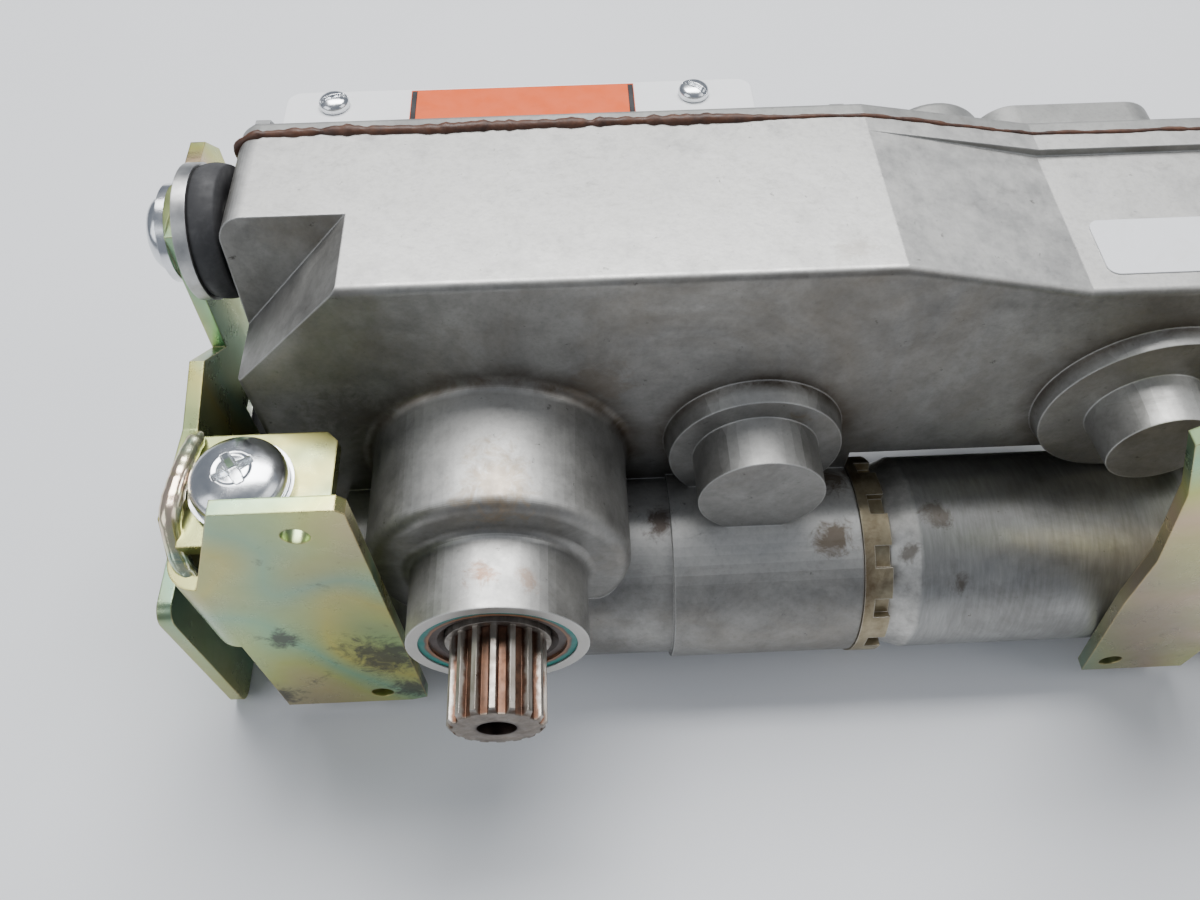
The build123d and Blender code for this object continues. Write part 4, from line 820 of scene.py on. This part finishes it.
# ------------------------------------------------------------------ rubber mounts
def bulged_mounts(name, replaced, places):
    """Rubber bushes that swell a little between their washers."""
    vertices, faces = [], []
    for x0, x1, y, z in places:
        length = abs(x1 - x0)
        place = on_plane((min(x0, x1), y, z), (0, 1, 0), (1, 0, 0))
        outer = [
            (17.2 * MM + 0.7 * MM * math.sin(math.pi * i / 10), length * i / 10) for i in range(11)
        ]
        ring_v, ring_f = revolved([(5.3 * MM, 0.0), *outer, (5.3 * MM, length)], place)
        start = len(vertices)
        vertices += ring_v
        faces += [tuple(start + i for i in face) for face in ring_f]
    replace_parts(piece(name, vertices, faces, "rubber"), replaced)


def mounts():
    for name, replaced, gap, heights in (
        ("bulged_front_mounts", "front_mount_rubbers", FRONT_GAP, FRONT_MOUNT_Z),
        ("bulged_back_mounts", "back_mount_rubbers", BACK_GAP, BACK_MOUNT_Z),
    ):
        span = gap - INNER_WASHER
        bulged_mounts(name, replaced, [
            (CASE_LEFT - 1.0 * MM, CASE_LEFT - span, MOUNT_Y, heights[0]),
            (CASE_RIGHT + 1.0 * MM, CASE_RIGHT + span, MOUNT_Y, heights[1]),
        ])


# ------------------------------------------------------------------ closing spring
def closing_spring():
    """Helical spring with closed end coils, between the spring plate and the seat."""
    low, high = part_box("compression_spring")
    plate_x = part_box("spring_plate")[1].x
    seat_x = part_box("spring_seat")[0].x
    centre_y, centre_z = (low.y + high.y) / 2, (low.z + high.z) / 2
    wire, turns, steps = 2.5 * MM, 11, 44
    coil_r = (high.y - low.y) / 2 - wire
    first, last = plate_x + wire + 0.2 * MM, seat_x - wire - 0.2 * MM
    closed = 2 * wire
    path = []
    for i in range(turns * steps + 1):
        turn = i / steps
        if turn < 1:
            x = first + closed * turn
        elif turn > turns - 1:
            x = last - closed * (turns - turn)
        else:
            x = first + closed + (last - first - 2 * closed) * (turn - 1) / (turns - 2)
        angle = 2 * math.pi * turn
        path.append(Vector((
            x, centre_y + coil_r * math.cos(angle), centre_z + coil_r * math.sin(angle),
        )))
    spring = piece("closing_spring", *tube_along(path, [wire] * len(path), 12), "steel")
    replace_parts(spring, "compression_spring")
    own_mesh(spring)


sealant_bead()
weld_bead()
closing_spring()
tab_screw()
flap_screws()
labels()
mounts()


# ------------------------------------------------------------------ floor, light and camera
def floor():
    half, step = 4.0, 16
    vertices, faces = [], []
    for i in range(step + 1):
        for k in range(step + 1):
            vertices.append((half * (2 * i / step - 1), half * (2 * k / step - 1), FLOOR_Z))
    for i in range(step):
        for k in range(step):
            a = i * (step + 1) + k
            faces.append((a, a + step + 1, a + step + 2, a + 1))
    mesh = bpy.data.meshes.new("floor")
    mesh.from_pydata(vertices, [], faces)
    mesh.materials.append(floor_finish())
    obj = bpy.data.objects.new("floor", mesh)
    bpy.context.scene.collection.objects.link(obj)


def soft_light(name, place, aim, size, power, color=(1, 1, 1)):
    data = bpy.data.lights.new(name, "AREA")
    data.shape = "RECTANGLE"
    data.size, data.size_y = size
    data.energy = power
    data.color = color
    obj = bpy.data.objects.new(name, data)
    obj.location = place
    obj.rotation_euler = (Vector(aim) - Vector(place)).to_track_quat("-Z", "Y").to_euler()
    bpy.context.scene.collection.objects.link(obj)


def studio():
    world = bpy.data.worlds.new("studio")
    world.use_nodes = True
    world.node_tree.nodes["Background"].inputs["Color"].default_value = (0.80, 0.87, 1.0, 1)
    world.node_tree.nodes["Background"].inputs["Strength"].default_value = 0.30
    bpy.context.scene.world = world
    middle = (0.07, 0.06, 0.0)
    soft_light("overhead", (0.05, 0.62, 1.20), middle, (1.2, 0.6), 29)
    soft_light("left_fill", (-0.95, -0.45, 0.75), middle, (0.9, 0.9), 5, (0.94, 0.97, 1.0))
    soft_light("right_fill", (1.05, -0.15, 0.70), middle, (0.7, 0.9), 3)


def camera():
    """Looks down on the unit from in front of the spindle."""
    azimuth, elevation, roll = math.radians(1.8), math.radians(56.52), math.radians(-0.78)
    ahead = Vector((
        math.sin(azimuth) * math.cos(elevation), math.cos(azimuth) * math.cos(elevation),
        -math.sin(elevation),
    ))
    right = Vector((math.cos(azimuth), -math.sin(azimuth), 0))
    up = right.cross(ahead)
    right, up = (
        right * math.cos(roll) + up * math.sin(roll), up * math.cos(roll) - right * math.sin(roll),
    )
    data = bpy.data.cameras.new("camera")
    data.sensor_width = 36.0
    data.lens = 29.21
    data.clip_start = 0.01
    obj = bpy.data.objects.new("camera", data)
    obj.matrix_world = Matrix.Translation((24.37 * MM, -77.5 * MM, 241.86 * MM)) @ (
        Matrix((right, up, -ahead)).transposed().to_4x4()
    )
    bpy.context.scene.collection.objects.link(obj)
    bpy.context.scene.camera = obj


floor()
studio()
camera()
